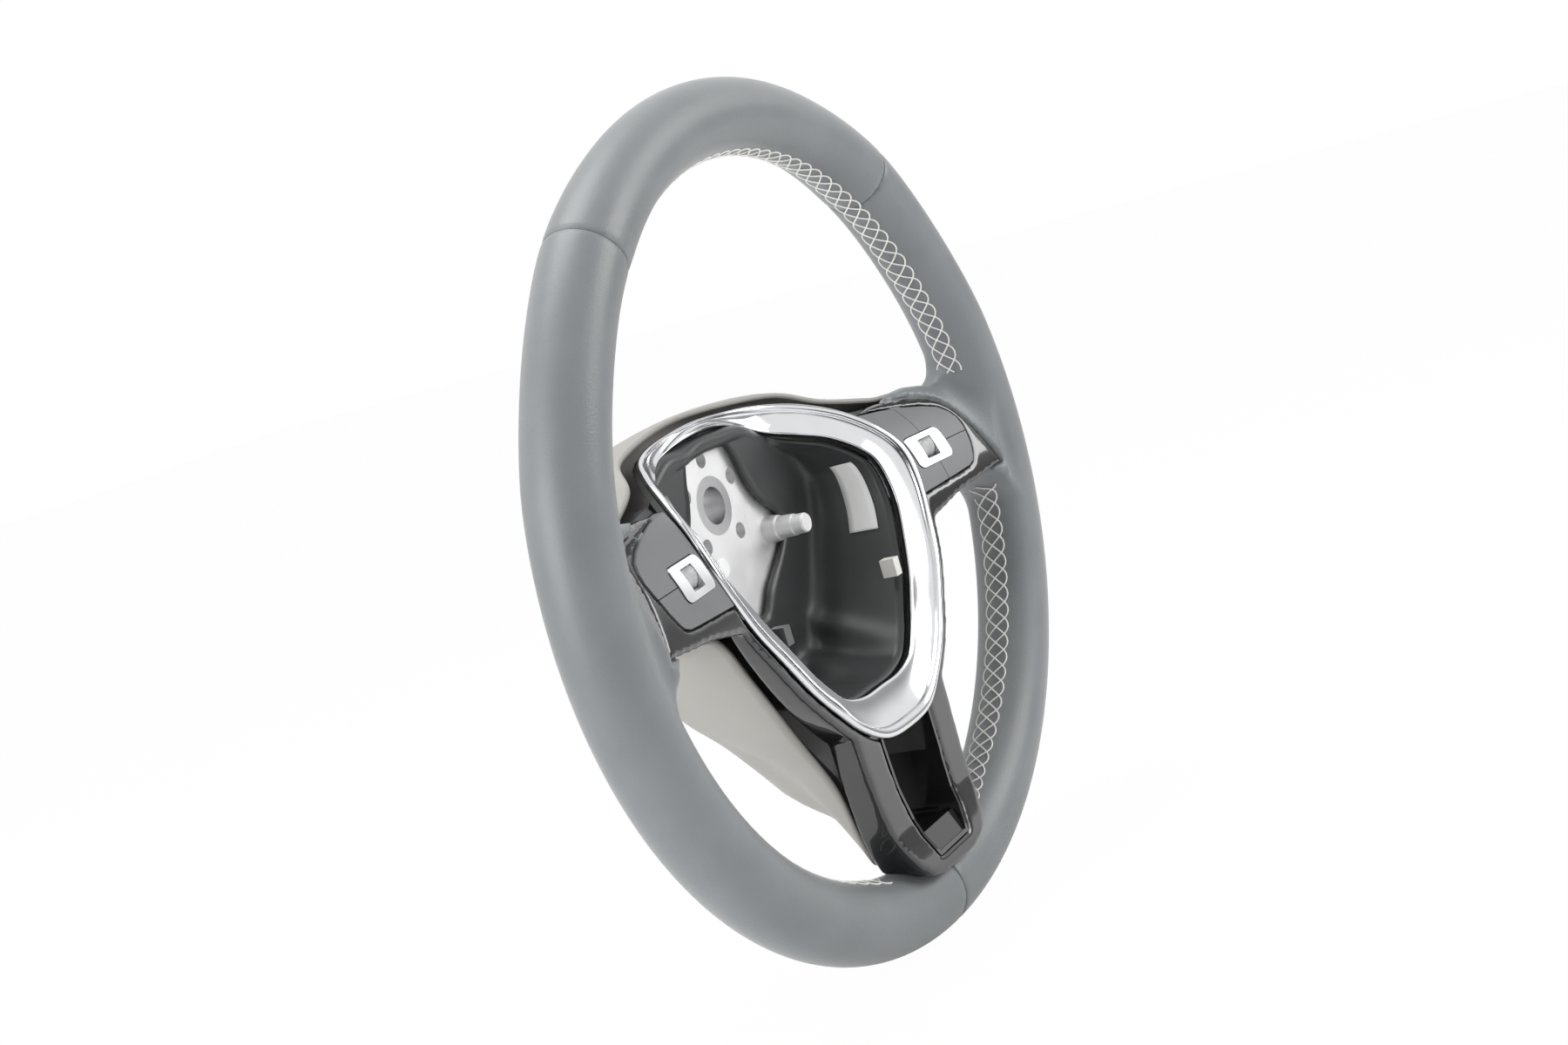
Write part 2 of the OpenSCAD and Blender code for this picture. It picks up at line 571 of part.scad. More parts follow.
// How far the upper sweep of the face lies back at a height above the rim's centre
function face_lift(z) = face_upper_r*cos(face_lean) - face_seat
    - sqrt(face_upper_r*face_upper_r - (z + face_upper_r*sin(face_lean))*(z + face_upper_r*sin(face_lean)));
module drum() rotate([0, 90, 0]) difference() {
    intersection() {
        translate([0, 0, -roller_w/2]) linear_extrude(height = roller_w) polygon([for (i = [0:2*roller_ribs - 1])
            let (r = i % 2 == 0 ? roller_r : roller_r - waist/2, a = i*180/roller_ribs) [r*cos(a), r*sin(a)]]);
        rotate_extrude() polygon([[0, -roller_w/2], [roller_r - waist/2, -roller_w/2], [roller_r, -roller_w*0.4],
            [roller_r - waist, -roller_w*0.12], [roller_r - waist, roller_w*0.12], [roller_r, roller_w*0.4],
            [roller_r - waist/2, roller_w/2], [0, roller_w/2]]);
    }
    cylinder(r = pin_r + run_gap, h = 2*roller_w, center = true);
}
fork_wall = 1.2;
fork_gap = 0.4;
fork_h_share = 0.6;
module roller() at_roller() drum();
module roller_pin() at_roller() rotate([0, 90, 0]) cylinder(r = pin_r, h = roller_w + 2*fork_gap + 2*fork_wall, center = true);
module roller_carrier() at_roller() difference() {
    union() {
        for (s = [-1, 1]) translate([s*(roller_w/2 + fork_gap + fork_wall/2), 0, 0]) {
            rotate([0, 90, 0]) cylinder(r = pin_r + fork_wall, h = fork_wall, center = true);
            translate([0, (roller_r + 2*fork_gap)/2, 0])
                cube([fork_wall, roller_r + 2*fork_gap, 2*(pin_r + fork_wall)], center = true);
        }
        translate([0, roller_r + 2*fork_gap + fork_wall/2, 0])
            cube([roller_w + 2*fork_gap + 2*fork_wall, fork_wall, 2*roller_r*fork_h_share], center = true);
    }
    rotate([0, 90, 0]) cylinder(r = pin_r, h = 2*roller_w, center = true);
}
// The space that the roller and its fork need, with their travel
fork_reach = roller_w + 2*fork_gap + 2*fork_wall + 2*play;
module roller_well() at_roller() {
    w = fork_reach;
    back = roller_r + 2*fork_gap + fork_wall + button_travel + play;
    translate([-w/2, -roller_r, -roller_r - play]) cube([w, roller_r + back, 2*roller_r + 2*play]);
}
module silver() color([0.8, 0.81, 0.82]) children();
module black() color([0.08, 0.08, 0.08]) children();

// Inner shroud: from under the ring back to a window round the hub plate
shroud_floor = hub_front - fit_gap;
shroud_seat = ring_wall + carrier_wall + 3*fit_gap;
wall_share = 0.97;
floor_share = 0.9;
function shroud_section(i) = let (p = ring_inner[i], q = p - ring_normal(i)*shroud_seat, w = window_edge[i],
    y2 = shroud_floor - shroud_wall*1.5, y1 = min(max(q[1] + (y2 - q[1])*0.6, q[1] + over), y2),
    a = [q[0]*wall_share, y1, q[2]*wall_share], b = [q[0]*floor_share, y2, q[2]*floor_share],
    c = [w[0], shroud_floor - shroud_wall, w[2]])
    [q, a, b, c, c + [0, shroud_wall, 0], b + [b[0] == 0 ? 0 : sign(b[0])*shroud_wall*0.7, shroud_wall*1.4,
    sign(b[2])*shroud_wall*0.7], a + unit([a[0], 0, a[2]])*shroud_wall, q + unit([q[0], 0, q[2]])*shroud_wall];
module inner_shroud() color([0.1, 0.1, 0.1]) tube_skin([for (i = [0:len(ring_inner) - 1]) shroud_section(i)]);

// Rear cover: front edge, widest part and back, from the foot to the top, as shares of reach, depth and height
cover_front_share = [[0, 0.085, -1], [0.17, 0.085, -0.99], [0.24, 0.06, -0.91], [0.28, 0.075, -0.73], [0.39, 0.09, -0.53],
    [0.49, 0.12, -0.33], [0.57, 0.15, -0.19], [0.78, 0.09, -0.15], [0.9, 0.09, -0.12], [0.9, 0.24, 0.16],
    [0.72, 0.34, 0.21], [0.54, 0.47, 0.26], [0.4, 0.68, 0.33], [0, 0.82, 0.365]];
cover_mid_share = [[0, 0.32, -0.89], [0.13, 0.3, -0.87], [0.2, 0.36, -0.76], [0.27, 0.5, -0.62], [0.36, 0.68, -0.49],
    [0.45, 0.74, -0.33], [0.53, 0.65, -0.21], [0.7, 0.44, -0.15], [0.86, 0.36, -0.1], [0.86, 0.42, 0.13],
    [0.67, 0.56, 0.21], [0.51, 0.74, 0.28], [0.37, 0.86, 0.34], [0, 0.9, 0.365]];
cover_back_share = [[0, 1, -0.42], [0.12, 1, -0.4], [0.2, 1, -0.35], [0.28, 1, -0.28], [0.33, 1, -0.2], [0.36, 1, -0.11],
    [0.38, 1, -0.04], [0.4, 1, 0.02], [0.4, 1, 0.07], [0.385, 1, 0.13], [0.36, 1, 0.2], [0.29, 1, 0.27], [0.2, 1, 0.3],
    [0, 1, 0.32]];
cover_hole_r = 24;
cover_down = 148;
function cover_curve(s) = loop([for (p = s) [p[0]*wing_reach, p[1]*cover_depth, p[2]*cover_down]], 2);
cover_front = cover_curve(cover_front_share);
cover_mid = cover_curve(cover_mid_share);
cover_back = cover_curve(cover_back_share);
function inward(p, lean) = unit([-p[0], -lean*norm([p[0], p[2]]), hub_rise - p[2]])*cover_wall;
function cover_section(i) = let (f = cover_front[i], m = cover_mid[i], b = cover_back[i],
    h = [0, b[1], hub_rise] + unit([b[0], 0, b[2] - hub_rise])*cover_hole_r,
    fm = (f*0.45 + m*0.55) + (m - b)*0.06, mb = (m + b)/2 + (m - [h[0], f[1], h[2]])*0.12)
    [f, fm, m, mb, b, h, h - [0, cover_wall, 0], b + inward(b, 1.2), mb + inward(mb, 0.8), m + inward(m, 0.3),
    fm + inward(fm, 0.1), f + inward(f, 0)];
module rear_cover() color([0.15, 0.15, 0.15]) difference() {
    tube_skin([for (i = [0:len(cover_front) - 1]) cover_section(i)]);
    cover_spots(cover_depth - 2*cover_wall) cylinder(r = screw_r + fit_gap, h = 4*cover_wall);
    for (s = [0, 1]) mirror([s, 0, 0]) side_arm(play);
    lower_arm(play);
}
module cover_screws() color([0.5, 0.5, 0.5]) {
    cover_spots(cover_depth) cylinder(r = screw_head_r, h = screw_head_t);
    cover_spots(hub_front + hub_plate_t/2) cylinder(r = screw_r, h = cover_depth - hub_front - hub_plate_t/2 + over/2);
}

// Blank label on the right-hand wall of the shroud, laid on its slope
label_t = 0.3;
label_from = 19;
label_to = 26;
function wall_pt(i, t, lift) = let (s = shroud_section(i), p = s[0] + (s[1] - s[0])*t) p - unit([p[0], 0, p[2]])*lift;
label_low_share = 0.2;
label_high_share = 0.62;
module blank_label() color([1, 1, 1]) tube_skin_ends([for (i = [label_from:label_to]) [
    wall_pt(i, label_low_share, fit_gap/2), wall_pt(i, label_high_share, fit_gap/2),
    wall_pt(i, label_high_share, label_t), wall_pt(i, label_low_share, label_t)]]);
// A skin through rings of points with flat ends
module tube_skin_ends(rings) {
    m = len(rings);
    n = len(rings[0]);
    polyhedron(points = [for (r = rings, p = r) p],
        faces = concat([for (i = [0:m - 2], j = [0:n - 1], f = [0, 1])
            let (a = i*n + j, b = i*n + (j + 1) % n, c = (i + 1)*n + j, d = (i + 1)*n + (j + 1) % n)
            f == 0 ? [a, b, d] : [a, d, c]],
            [for (k = [1:n - 2]) [0, k + 1, k]], [for (k = [1:n - 2]) [(m - 1)*n, (m - 1)*n + k, (m - 1)*n + k + 1]]));
}
clip_size = [5, 7, 8];
clip_at_share = [0.56, 0.04, -0.42];
module side_clips() color([0.9, 0.9, 0.88]) for (s = [0, 1]) mirror([s, 0, 0]) {
    translate([clip_at_share[0]*ring_half_w, clip_at_share[1]*ring_half_w, clip_at_share[2]*ring_half_w])
        cube(clip_size, center = true);
}

// The rim frame is moved so that the origin lies on the column bore
module placed() translate([0, -hub_dish, -hub_rise]) children();
placed() armature();
placed() rim_core();
placed() column_insert();
placed() rim_foam();
placed() leather_top();
placed() leather_left();
placed() leather_right();
placed() ring_trim();
placed() ring_carrier();
placed() front_bezel();
placed() pocket_insert();
placed() inner_shroud();
placed() rear_cover();
placed() black() left() switch_housing();  // switch_housing_left
placed() black() switch_housing();  // switch_housing_right
placed() silver() left() surround();  // surround_left
placed() silver() surround();  // surround_right
placed() button_paint() left() roller();  // roller_left
placed() button_paint() roller();  // roller_right
placed() silver() left() roller_pin();  // roller_pin_left
placed() silver() roller_pin();  // roller_pin_right
placed() black() left() roller_carrier();  // roller_carrier_left
placed() black() roller_carrier();  // roller_carrier_right
placed() button_left_upper();
placed() button_left_lower();
placed() button_right_upper_inner();
placed() button_right_upper_outer();
placed() button_right_lower_inner();
placed() button_right_lower_outer();
placed() silver() left() dome_mat();  // dome_mat_left
placed() silver() dome_mat();  // dome_mat_right
placed() color([0.1, 0.4, 0.2]) left() switch_board();  // switch_board_left
placed() color([0.1, 0.4, 0.2]) switch_board();  // switch_board_right
placed() blank_label();
placed() side_clips();
placed() cover_screws();
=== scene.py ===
"""Dresses the car steering wheel: leather, thread, bright and glossy trim, castings and moulded plastic.

Lengths inside the classes are millimetres in the rim frame: x to the driver's right, y away from the
driver, z up, origin at the rim's centre. Meshes are made in metres in the row frame.
"""
from __future__ import annotations

import logging
import math
from dataclasses import dataclass
from enum import Enum
from typing import Callable, Iterable, Sequence

import bmesh
import bpy
import numpy as np
from mathutils import Matrix, Vector


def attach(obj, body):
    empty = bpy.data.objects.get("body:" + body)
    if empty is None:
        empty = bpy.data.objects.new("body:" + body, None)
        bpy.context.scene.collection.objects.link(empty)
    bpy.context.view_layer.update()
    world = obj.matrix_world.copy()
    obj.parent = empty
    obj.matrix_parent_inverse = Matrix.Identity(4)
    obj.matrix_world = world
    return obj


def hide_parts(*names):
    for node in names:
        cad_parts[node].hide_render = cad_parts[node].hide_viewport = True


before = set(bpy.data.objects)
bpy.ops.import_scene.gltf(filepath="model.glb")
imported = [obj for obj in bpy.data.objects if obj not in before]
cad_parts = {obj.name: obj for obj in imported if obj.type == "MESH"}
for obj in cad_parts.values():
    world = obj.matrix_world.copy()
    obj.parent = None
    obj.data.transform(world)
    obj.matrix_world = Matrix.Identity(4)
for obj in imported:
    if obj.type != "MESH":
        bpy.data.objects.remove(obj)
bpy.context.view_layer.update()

LOG = logging.getLogger("wheel")
MM = 0.001
HUB_DISH = 52.0
HUB_RISE = 13.0
SHIFT = np.array([0.0, -HUB_DISH, -HUB_RISE])
WHEEL = "wheel"
FACE_MID = -0.6
FACE_SLOPE = 0.32
FACE_BOW_UP = 0.009
FACE_BOW_DOWN = 0.004
FACE_SWEEP = 0.15
FACE_MID_X = 92.0
EVEN_FACTOR = 0.5
EVEN_ROUNDS = 36
EDGE_W = 0.45
EDGE_STEPS = 2
EDGE_ANGLE = 28
Colour = tuple[float, float, float]
Quad = tuple[int, int, int, int]


class Signal:
    """A shader socket that takes part in Python sums."""

    def __init__(self, tree: "Tree", socket: bpy.types.NodeSocket) -> None:
        """Wraps a socket.

        Args:
            tree: The node tree that the socket belongs to.
            socket: The output socket.
        """
        self.tree = tree
        self.socket = socket

    def _maths(self, operation: str, *values: "Signal | float") -> "Signal":
        """Adds one Math node.

        Args:
            operation: The node's operation.
            values: Its inputs in order.

        Returns:
            The node's result.
        """
        return self.tree.read("ShaderNodeMath", 0, {"operation": operation}, dict(enumerate(values)))

    def __add__(self, other: "Signal | float") -> "Signal":
        """Adds a value."""
        return self._maths("ADD", self, other)

    __radd__ = __add__

    def __mul__(self, other: "Signal | float") -> "Signal":
        """Multiplies by a value."""
        return self._maths("MULTIPLY", self, other)

    __rmul__ = __mul__

    def __sub__(self, other: "Signal | float") -> "Signal":
        """Subtracts a value."""
        return self._maths("SUBTRACT", self, other)

    def __rsub__(self, other: "Signal | float") -> "Signal":
        """Is subtracted from a value."""
        return self._maths("SUBTRACT", other, self)

    def larger(self, other: "Signal | float") -> "Signal":
        """Takes the larger of two values."""
        return self._maths("MAXIMUM", self, other)

    def ramp(self, low: float, high: float, to_low: float = 0.0, to_high: float = 1.0,
             kind: str = "LINEAR") -> "Signal":
        """Maps a range to another, clamped.

        Args:
            low: Value that gives to_low.
            high: Value that gives to_high.
            to_low: Result at low.
            to_high: Result at high.
            kind: How it goes from one to the other.

        Returns:
            The mapped value.
        """
        return self.tree.read("ShaderNodeMapRange", "Result", {"clamp": True, "interpolation_type": kind}, {
            "Value": self, "From Min": low, "From Max": high, "To Min": to_low, "To Max": to_high})


class Tree:
    """A node tree that is filled through one method."""

    def __init__(self, graph: bpy.types.NodeTree) -> None:
        """Empties the tree.

        Args:
            graph: The tree.
        """
        self.graph = graph
        self.graph.nodes.clear()

    def node(self, kind: str, settings: dict[str, object],
             inputs: dict[str | int, object]) -> bpy.types.Node:
        """Adds any node.

        Args:
            kind: The node's type.
            settings: Its properties, set first.
            inputs: Values or signals of its sockets.

        Returns:
            The new node.
        """
        made = self.graph.nodes.new(kind)
        for name, value in settings.items():
            setattr(made, name, value)
        for name, value in inputs.items():
            if isinstance(value, Signal):
                self.graph.links.new(value.socket, made.inputs[name])
            else:
                made.inputs[name].default_value = value
        return made

    def read(self, kind: str, output: str | int, settings: dict[str, object] | None = None,
             inputs: dict[str | int, object] | None = None) -> Signal:
        """Adds a node and gives one of its outputs.

        Args:
            kind: The node's type.
            output: Name or number of the output.
            settings: Its properties.
            inputs: Values or signals of its sockets.

        Returns:
            The output.
        """
        return Signal(self, self.node(kind, settings or {}, inputs or {}).outputs[output])


class Shader(Tree):
    """A material with one main shader."""

    def __init__(self, name: str) -> None:
        """Makes a plain material.

        Args:
            name: The material's name.
        """
        self.material = bpy.data.materials.new(name)
        self.material.use_nodes = True
        super().__init__(self.material.node_tree)
        self.principled = self.node("ShaderNodeBsdfPrincipled", {}, {})
        self.surface = Signal(self, self.principled.outputs["BSDF"])
        self.output = self.node("ShaderNodeOutputMaterial", {}, {"Surface": self.surface})
        self.place = self.read("ShaderNodeTexCoord", "Object")

    def set(self, **values: object) -> None:
        """Sets sockets of the main shader.

        Args:
            values: Socket names with underscores for spaces, and a value or signal for each.
        """
        for name, value in values.items():
            socket = self.principled.inputs[name.replace("_", " ")]
            if isinstance(value, Signal):
                self.graph.links.new(value.socket, socket)
            else:
                socket.default_value = value

    def noise(self, scale: float, detail: float = 2.0, roughness: float = 0.5) -> Signal:
        """Gives smooth noise fixed to the object.

        Args:
            scale: Features per metre.
            detail: Octaves.
            roughness: Strength of the finer octaves.

        Returns:
            A value from 0 to 1.
        """
        return self.read("ShaderNodeTexNoise", 0, {}, {
            "Vector": self.place, "Scale": scale, "Detail": detail, "Roughness": roughness})

    def cells(self, scale: float) -> Signal:
        """Gives the distance pattern of random cells.

        Args:
            scale: Cells per metre.

        Returns:
            A distance.
        """
        return self.read("ShaderNodeTexVoronoi", "Distance", {}, {"Vector": self.place, "Scale": scale})

    def blend(self, share: Signal, first: Colour, second: Colour) -> Signal:
        """Mixes two colours.

        Args:
            share: How much of the second colour shows.
            first: Colour at 0.
            second: Colour at 1.

        Returns:
            The mixed colour.
        """
        return self.read("ShaderNodeMix", 2, {"data_type": "RGBA"}, {
            0: share, 6: (*first, 1.0), 7: (*second, 1.0)})

    def bump(self, height: Signal, distance: float, strength: float = 1.0) -> None:
        """Puts a height on the surface.

        Args:
            height: The height signal.
            distance: Metres that a height of 1 stands for.
            strength: Share of the effect.
        """
        self.set(Normal=self.read("ShaderNodeBump", "Normal", {}, {
            "Height": height, "Distance": distance, "Strength": strength}))


def shade(colour: Colour, factor: float) -> Colour:
    """Makes a colour lighter or darker.

    Args:
        colour: The colour.
        factor: What each channel is multiplied by.

    Returns:
        The new colour.
    """
    return (colour[0] * factor, colour[1] * factor, colour[2] * factor)


@dataclass(frozen=True)
class Leather:
    """Satin grained leather."""

    colour: Colour = (0.2, 0.213, 0.222)
    grain: float = 1100.0
    depth: float = 0.00012
    roughness: float = 0.4

    def make(self, name: str) -> bpy.types.Material:
        """Builds the material.

        Args:
            name: Its name.

        Returns:
            The material.
        """
        shader = Shader(name)
        patch = shader.noise(35.0, 3.0)
        pores = shader.cells(self.grain).ramp(0.0, 0.75)
        fine = shader.noise(self.grain * 2.5, 2.0)
        tones = shade(self.colour, 0.95), shade(self.colour, 1.05)
        shader.set(Base_Color=shader.blend(patch.ramp(0.35, 0.65), *tones),
                   Roughness=patch.ramp(0.3, 0.7, self.roughness - 0.04, self.roughness + 0.05))
        shader.bump(pores * 0.75 + fine * 0.25, self.depth, 0.5)
        shader.set(Specular_IOR_Level=0.6, Sheen_Weight=0.35, Sheen_Roughness=0.35)
        return shader.material


@dataclass(frozen=True)
class Plastic:
    """Moulded plastic, from grained to high gloss."""

    colour: Colour
    roughness: float
    grain: float = 1600.0
    depth: float = 0.00004
    specular: float = 0.5
    coat: float = 0.0

    def make(self, name: str) -> bpy.types.Material:
        """Builds the material.

        Args:
            name: Its name.

        Returns:
            The material.
        """
        shader = Shader(name)
        patch = shader.noise(60.0, 2.0)
        shader.set(Base_Color=shader.blend(patch, shade(self.colour, 0.94), shade(self.colour, 1.06)),
                   Roughness=patch.ramp(0.2, 0.8, self.roughness * 0.9, self.roughness * 1.1),
                   Specular_IOR_Level=self.specular, Coat_Weight=self.coat)
        shader.bump(shader.noise(self.grain, 3.0), self.depth, 0.35)
        return shader.material


@dataclass(frozen=True)
class Metal:
    """Bare, cast, brushed or plated metal."""

    colour: Colour
    roughness: float
    grain: float = 900.0
    depth: float = 0.00003
    metallic: float = 1.0

    def make(self, name: str) -> bpy.types.Material:
        """Builds the material.

        Args:
            name: Its name.

        Returns:
            The material.
        """
        shader = Shader(name)
        patch = shader.noise(80.0, 3.0)
        shader.set(Base_Color=shader.blend(patch, shade(self.colour, 0.93), shade(self.colour, 1.04)),
                   Roughness=patch.ramp(0.25, 0.75, self.roughness * 0.85, self.roughness * 1.15),
                   Metallic=self.metallic)
        shader.bump(shader.noise(self.grain, 4.0, 0.6), self.depth, 0.5)
        return shader.material


@dataclass(frozen=True)
class Thread:
    """Twisted sewing thread."""

    colour: Colour = (0.97, 0.96, 0.92)

    def make(self, name: str) -> bpy.types.Material:
        """Builds the material.

        Args:
            name: Its name.

        Returns:
            The material.
        """
        shader = Shader(name)
        fibres = shader.noise(4500.0, 3.0)
        shader.set(Base_Color=shader.blend(fibres, shade(self.colour, 0.86), shade(self.colour, 1.08)),
                   Roughness=0.7)
        shader.bump(fibres, 0.00015, 0.6)
        return shader.material


class Look(Enum):
    """The finishes of the wheel."""

    LEATHER = Leather()
    THREAD = Thread()
    FOAM = Plastic((0.03, 0.03, 0.032), 0.8)
    GLOSS = Plastic((0.012, 0.012, 0.013), 0.07, grain=300.0, depth=0.000004, specular=0.75, coat=0.5)
    SKIRT = Plastic((0.1, 0.101, 0.103), 0.45)
    DARK = Plastic((0.035, 0.036, 0.038), 0.42)
    LINING = Plastic((0.05, 0.052, 0.053), 0.36, grain=700.0, depth=0.00005)
    SHELL = Plastic((0.4, 0.39, 0.365), 0.5)
    SWITCH = Plastic((0.19, 0.195, 0.2), 0.42)
    ROLLER = Plastic((0.5, 0.505, 0.51), 0.34)
    BRIGHT = Metal((0.74, 0.75, 0.77), 0.1, grain=400.0, depth=0.000004)
    SILVER = Metal((0.84, 0.85, 0.86), 0.34)
    CAST = Metal((0.9, 0.9, 0.9), 0.5, depth=0.00012, metallic=0.6)
    STEEL = Metal((0.62, 0.62, 0.63), 0.3)
    RUBBER = Plastic((0.6, 0.6, 0.58), 0.6)
    BOARD = Plastic((0.02, 0.12, 0.05), 0.35)
    PAPER = Plastic((0.95, 0.95, 0.94), 0.5)
    PALE = Plastic((0.8, 0.79, 0.75), 0.45)


class Wardrobe:
    """Makes each finish once and hands it out."""

    def __init__(self) -> None:
        """Starts with no finish made."""
        self.made: dict[Look, bpy.types.Material] = {}

    def get(self, look: Look) -> bpy.types.Material:
        """Gives a finish's material.

        Args:
            look: The finish.

        Returns:
            Its material.
        """
        if look not in self.made:
            self.made[look] = look.value.make(look.name.lower())
        return self.made[look]


def to_row(points: np.ndarray) -> np.ndarray:
    """Moves points from the rim frame to the row frame.

    Args:
        points: Millimetres in the rim frame.

    Returns:
        Metres in the row frame.
    """
    return (np.asarray(points, float) + SHIFT) * MM


def make_object(name: str, points: np.ndarray, faces: Iterable[Sequence[int]],
                material: bpy.types.Material, smooth: bool = True) -> bpy.types.Object:
    """Makes a mesh object.

    Args:
        name: The piece's name.
        points: Vertices in the rim frame, millimetres.
        faces: Vertex numbers of each face.
        material: What it is made of.
        smooth: Whether its faces are shaded smooth.

    Returns:
        The object.
    """
    mesh = bpy.data.meshes.new(name)
    mesh.from_pydata(to_row(points).tolist(), [], [list(f) for f in faces])
    mesh.polygons.foreach_set("use_smooth", [smooth] * len(mesh.polygons))
    mesh.materials.append(material)
    mesh.update()
    made = bpy.data.objects.new(name, mesh)
    bpy.context.scene.collection.objects.link(made)
    return made


def grid_faces(rows: int, columns: int, wrap_rows: bool, wrap_columns: bool) -> list[Quad]:
    """Numbers the quads of a grid of points.

    Args:
        rows: Rings of points.
        columns: Points in a ring.
        wrap_rows: Whether the last ring joins the first.
        wrap_columns: Whether each ring is closed.

    Returns:
        The quads.
    """
    faces = []
    for i in range(rows if wrap_rows else rows - 1):
        for j in range(columns if wrap_columns else columns - 1):
            here, after = i * columns, (i + 1) % rows * columns
            after_j = (j + 1) % columns
            faces.append((here + j, here + after_j, after + after_j, after + j))
    return faces


def curve_point(before: np.ndarray, start: np.ndarray, end: np.ndarray, after: np.ndarray,
                share: float) -> np.ndarray:
    """Finds a place on a smooth curve through points.

    Args:
        before: The point before the span.
        start: Where the span starts.
        end: Where it ends.
        after: The point after it.
        share: How far along the span.

    Returns:
        The place.
    """
    return 0.5 * (2 * start + (end - before) * share
                  + (2 * before - 5 * start + 4 * end - after) * share ** 2
                  + (3 * start - before - 3 * end + after) * share ** 3)


def smooth_loop(half: np.ndarray, steps: int) -> np.ndarray:
    """Draws a smooth loop through half of it and its mirror image.

    Args:
        half: Points from the foot to the top, both on the middle plane.
        steps: Points made for each one given.

    Returns:
        The whole loop, up the right-hand side and down the left.
    """
    mirror = np.array([-1.0, 1.0, 1.0])
    ends = np.concatenate([half[1:2] * mirror, half, half[-2:-1] * mirror])
    side = [curve_point(ends[i], ends[i + 1], ends[i + 2], ends[i + 3], k / steps)
            for i in range(len(half) - 1) for k in range(steps)]
    return np.concatenate([side, half[-1:], np.array(side[:0:-1]) * mirror])


def smooth_rows(knots: np.ndarray, steps: int) -> np.ndarray:
    """Draws a smooth row through each line of knots.

    Args:
        knots: Lines of points.
        steps: Points made for each span.

    Returns:
        The rows.
    """
    first, last = 2 * knots[:, :1] - knots[:, 1:2], 2 * knots[:, -1:] - knots[:, -2:-1]
    ends = np.concatenate([first, knots, last], axis=1)
    made = [curve_point(ends[:, i], ends[:, i + 1], ends[:, i + 2], ends[:, i + 3], k / steps)
            for i in range(knots.shape[1] - 1) for k in range(steps)]
    return np.stack(made + [knots[:, -1]], axis=1)


def tidy_normals(piece: bpy.types.Object) -> None:
    """Turns every face of a closed piece outward.

    Args:
        piece: The piece.
    """
    form = bmesh.new()
    form.from_mesh(piece.data)
    bmesh.ops.recalc_face_normals(form, faces=form.faces[:])
    form.to_mesh(piece.data)
    form.free()


def thicken(piece: bpy.types.Object, wall: float) -> None:
    """Gives a sheet a wall on the inner side of its faces.

    Args:
        piece: The sheet.
        wall: Its thickness in millimetres.
    """
    tidy_normals(piece)
    solid = piece.modifiers.new("wall", "SOLIDIFY")
    solid.thickness = wall * MM
    solid.offset = -1.0
    solid.use_even_offset = False
    apply_modifiers(piece)


def apply_modifiers(piece: bpy.types.Object) -> None:
    """Replaces a piece's mesh by what its modifiers make of it.

    Args:
        piece: The piece.
    """
    graph = bpy.context.evaluated_depsgraph_get()
    mesh = bpy.data.meshes.new_from_object(piece.evaluated_get(graph))
    piece.modifiers.clear()
    piece.data = mesh
    mesh.polygons.foreach_set("use_smooth", [True] * len(mesh.polygons))


def round_max(first: np.ndarray, second: np.ndarray, radius: float) -> np.ndarray:
    """Meets two distances with a rounded outer edge.

    Args:
        first: One distance.
        second: The other.
        radius: Radius of the edge.

    Returns:
        The distance to what both hold.
    """
    share = np.maximum(radius - np.abs(first - second), 0.0) / radius
    return np.maximum(first, second) + share * share * radius * 0.25


def round_min(first: np.ndarray, second: np.ndarray, radius: float) -> np.ndarray:
    """Joins two distances with a fillet.

    Args:
        first: One distance.
        second: The other.
        radius: Size of the fillet.

    Returns:
        The distance to the joined form.
    """
    return -round_max(-first, -second, radius)


def outline_distance(x: np.ndarray, z: np.ndarray, outline: np.ndarray) -> np.ndarray:
    """Measures to a closed outline, negative inside.

    Args:
        x: Places across.
        z: Places up.
        outline: Its corners.

    Returns:
        The distances.
    """
    nearest = np.full(x.shape, np.inf)
    inside = np.zeros(x.shape, bool)
    for start, end in zip(outline, np.roll(outline, -1, axis=0)):
        run = end - start
        share = np.clip(((x - start[0]) * run[0] + (z - start[1]) * run[1]) / (run @ run), 0, 1)
        gap = np.hypot(x - start[0] - share * run[0], z - start[1] - share * run[1])
        nearest = np.minimum(nearest, gap)
        if start[1] != end[1]:
            crosses = (start[1] > z) != (end[1] > z)
            inside ^= crosses & (x < start[0] + (z - start[1]) * run[0] / run[1])
    return np.where(inside, -nearest, nearest)


def settle(points: np.ndarray, distance: Callable[[np.ndarray], np.ndarray],
           lift: np.ndarray | float = 0.0, rounds: int = 5) -> np.ndarray:
    """Moves points onto a form's surface.

    Args:
        points: Places near the surface.
        distance: The form's distance.
        lift: How far off the surface they end.
        rounds: Steps taken.

    Returns:
        The moved points.
    """
    step = 0.05
    for _ in range(rounds):
        here = distance(points)
        slope = np.stack([distance(points + step * axis) - distance(points - step * axis)
                          for axis in np.eye(3)], axis=-1)
        slope /= 2 * step
        size = np.maximum((slope * slope).sum(axis=-1, keepdims=True), 0.25)
        points = points - np.clip((here - lift)[..., None] * slope / size, -2.0, 2.0)
    return points


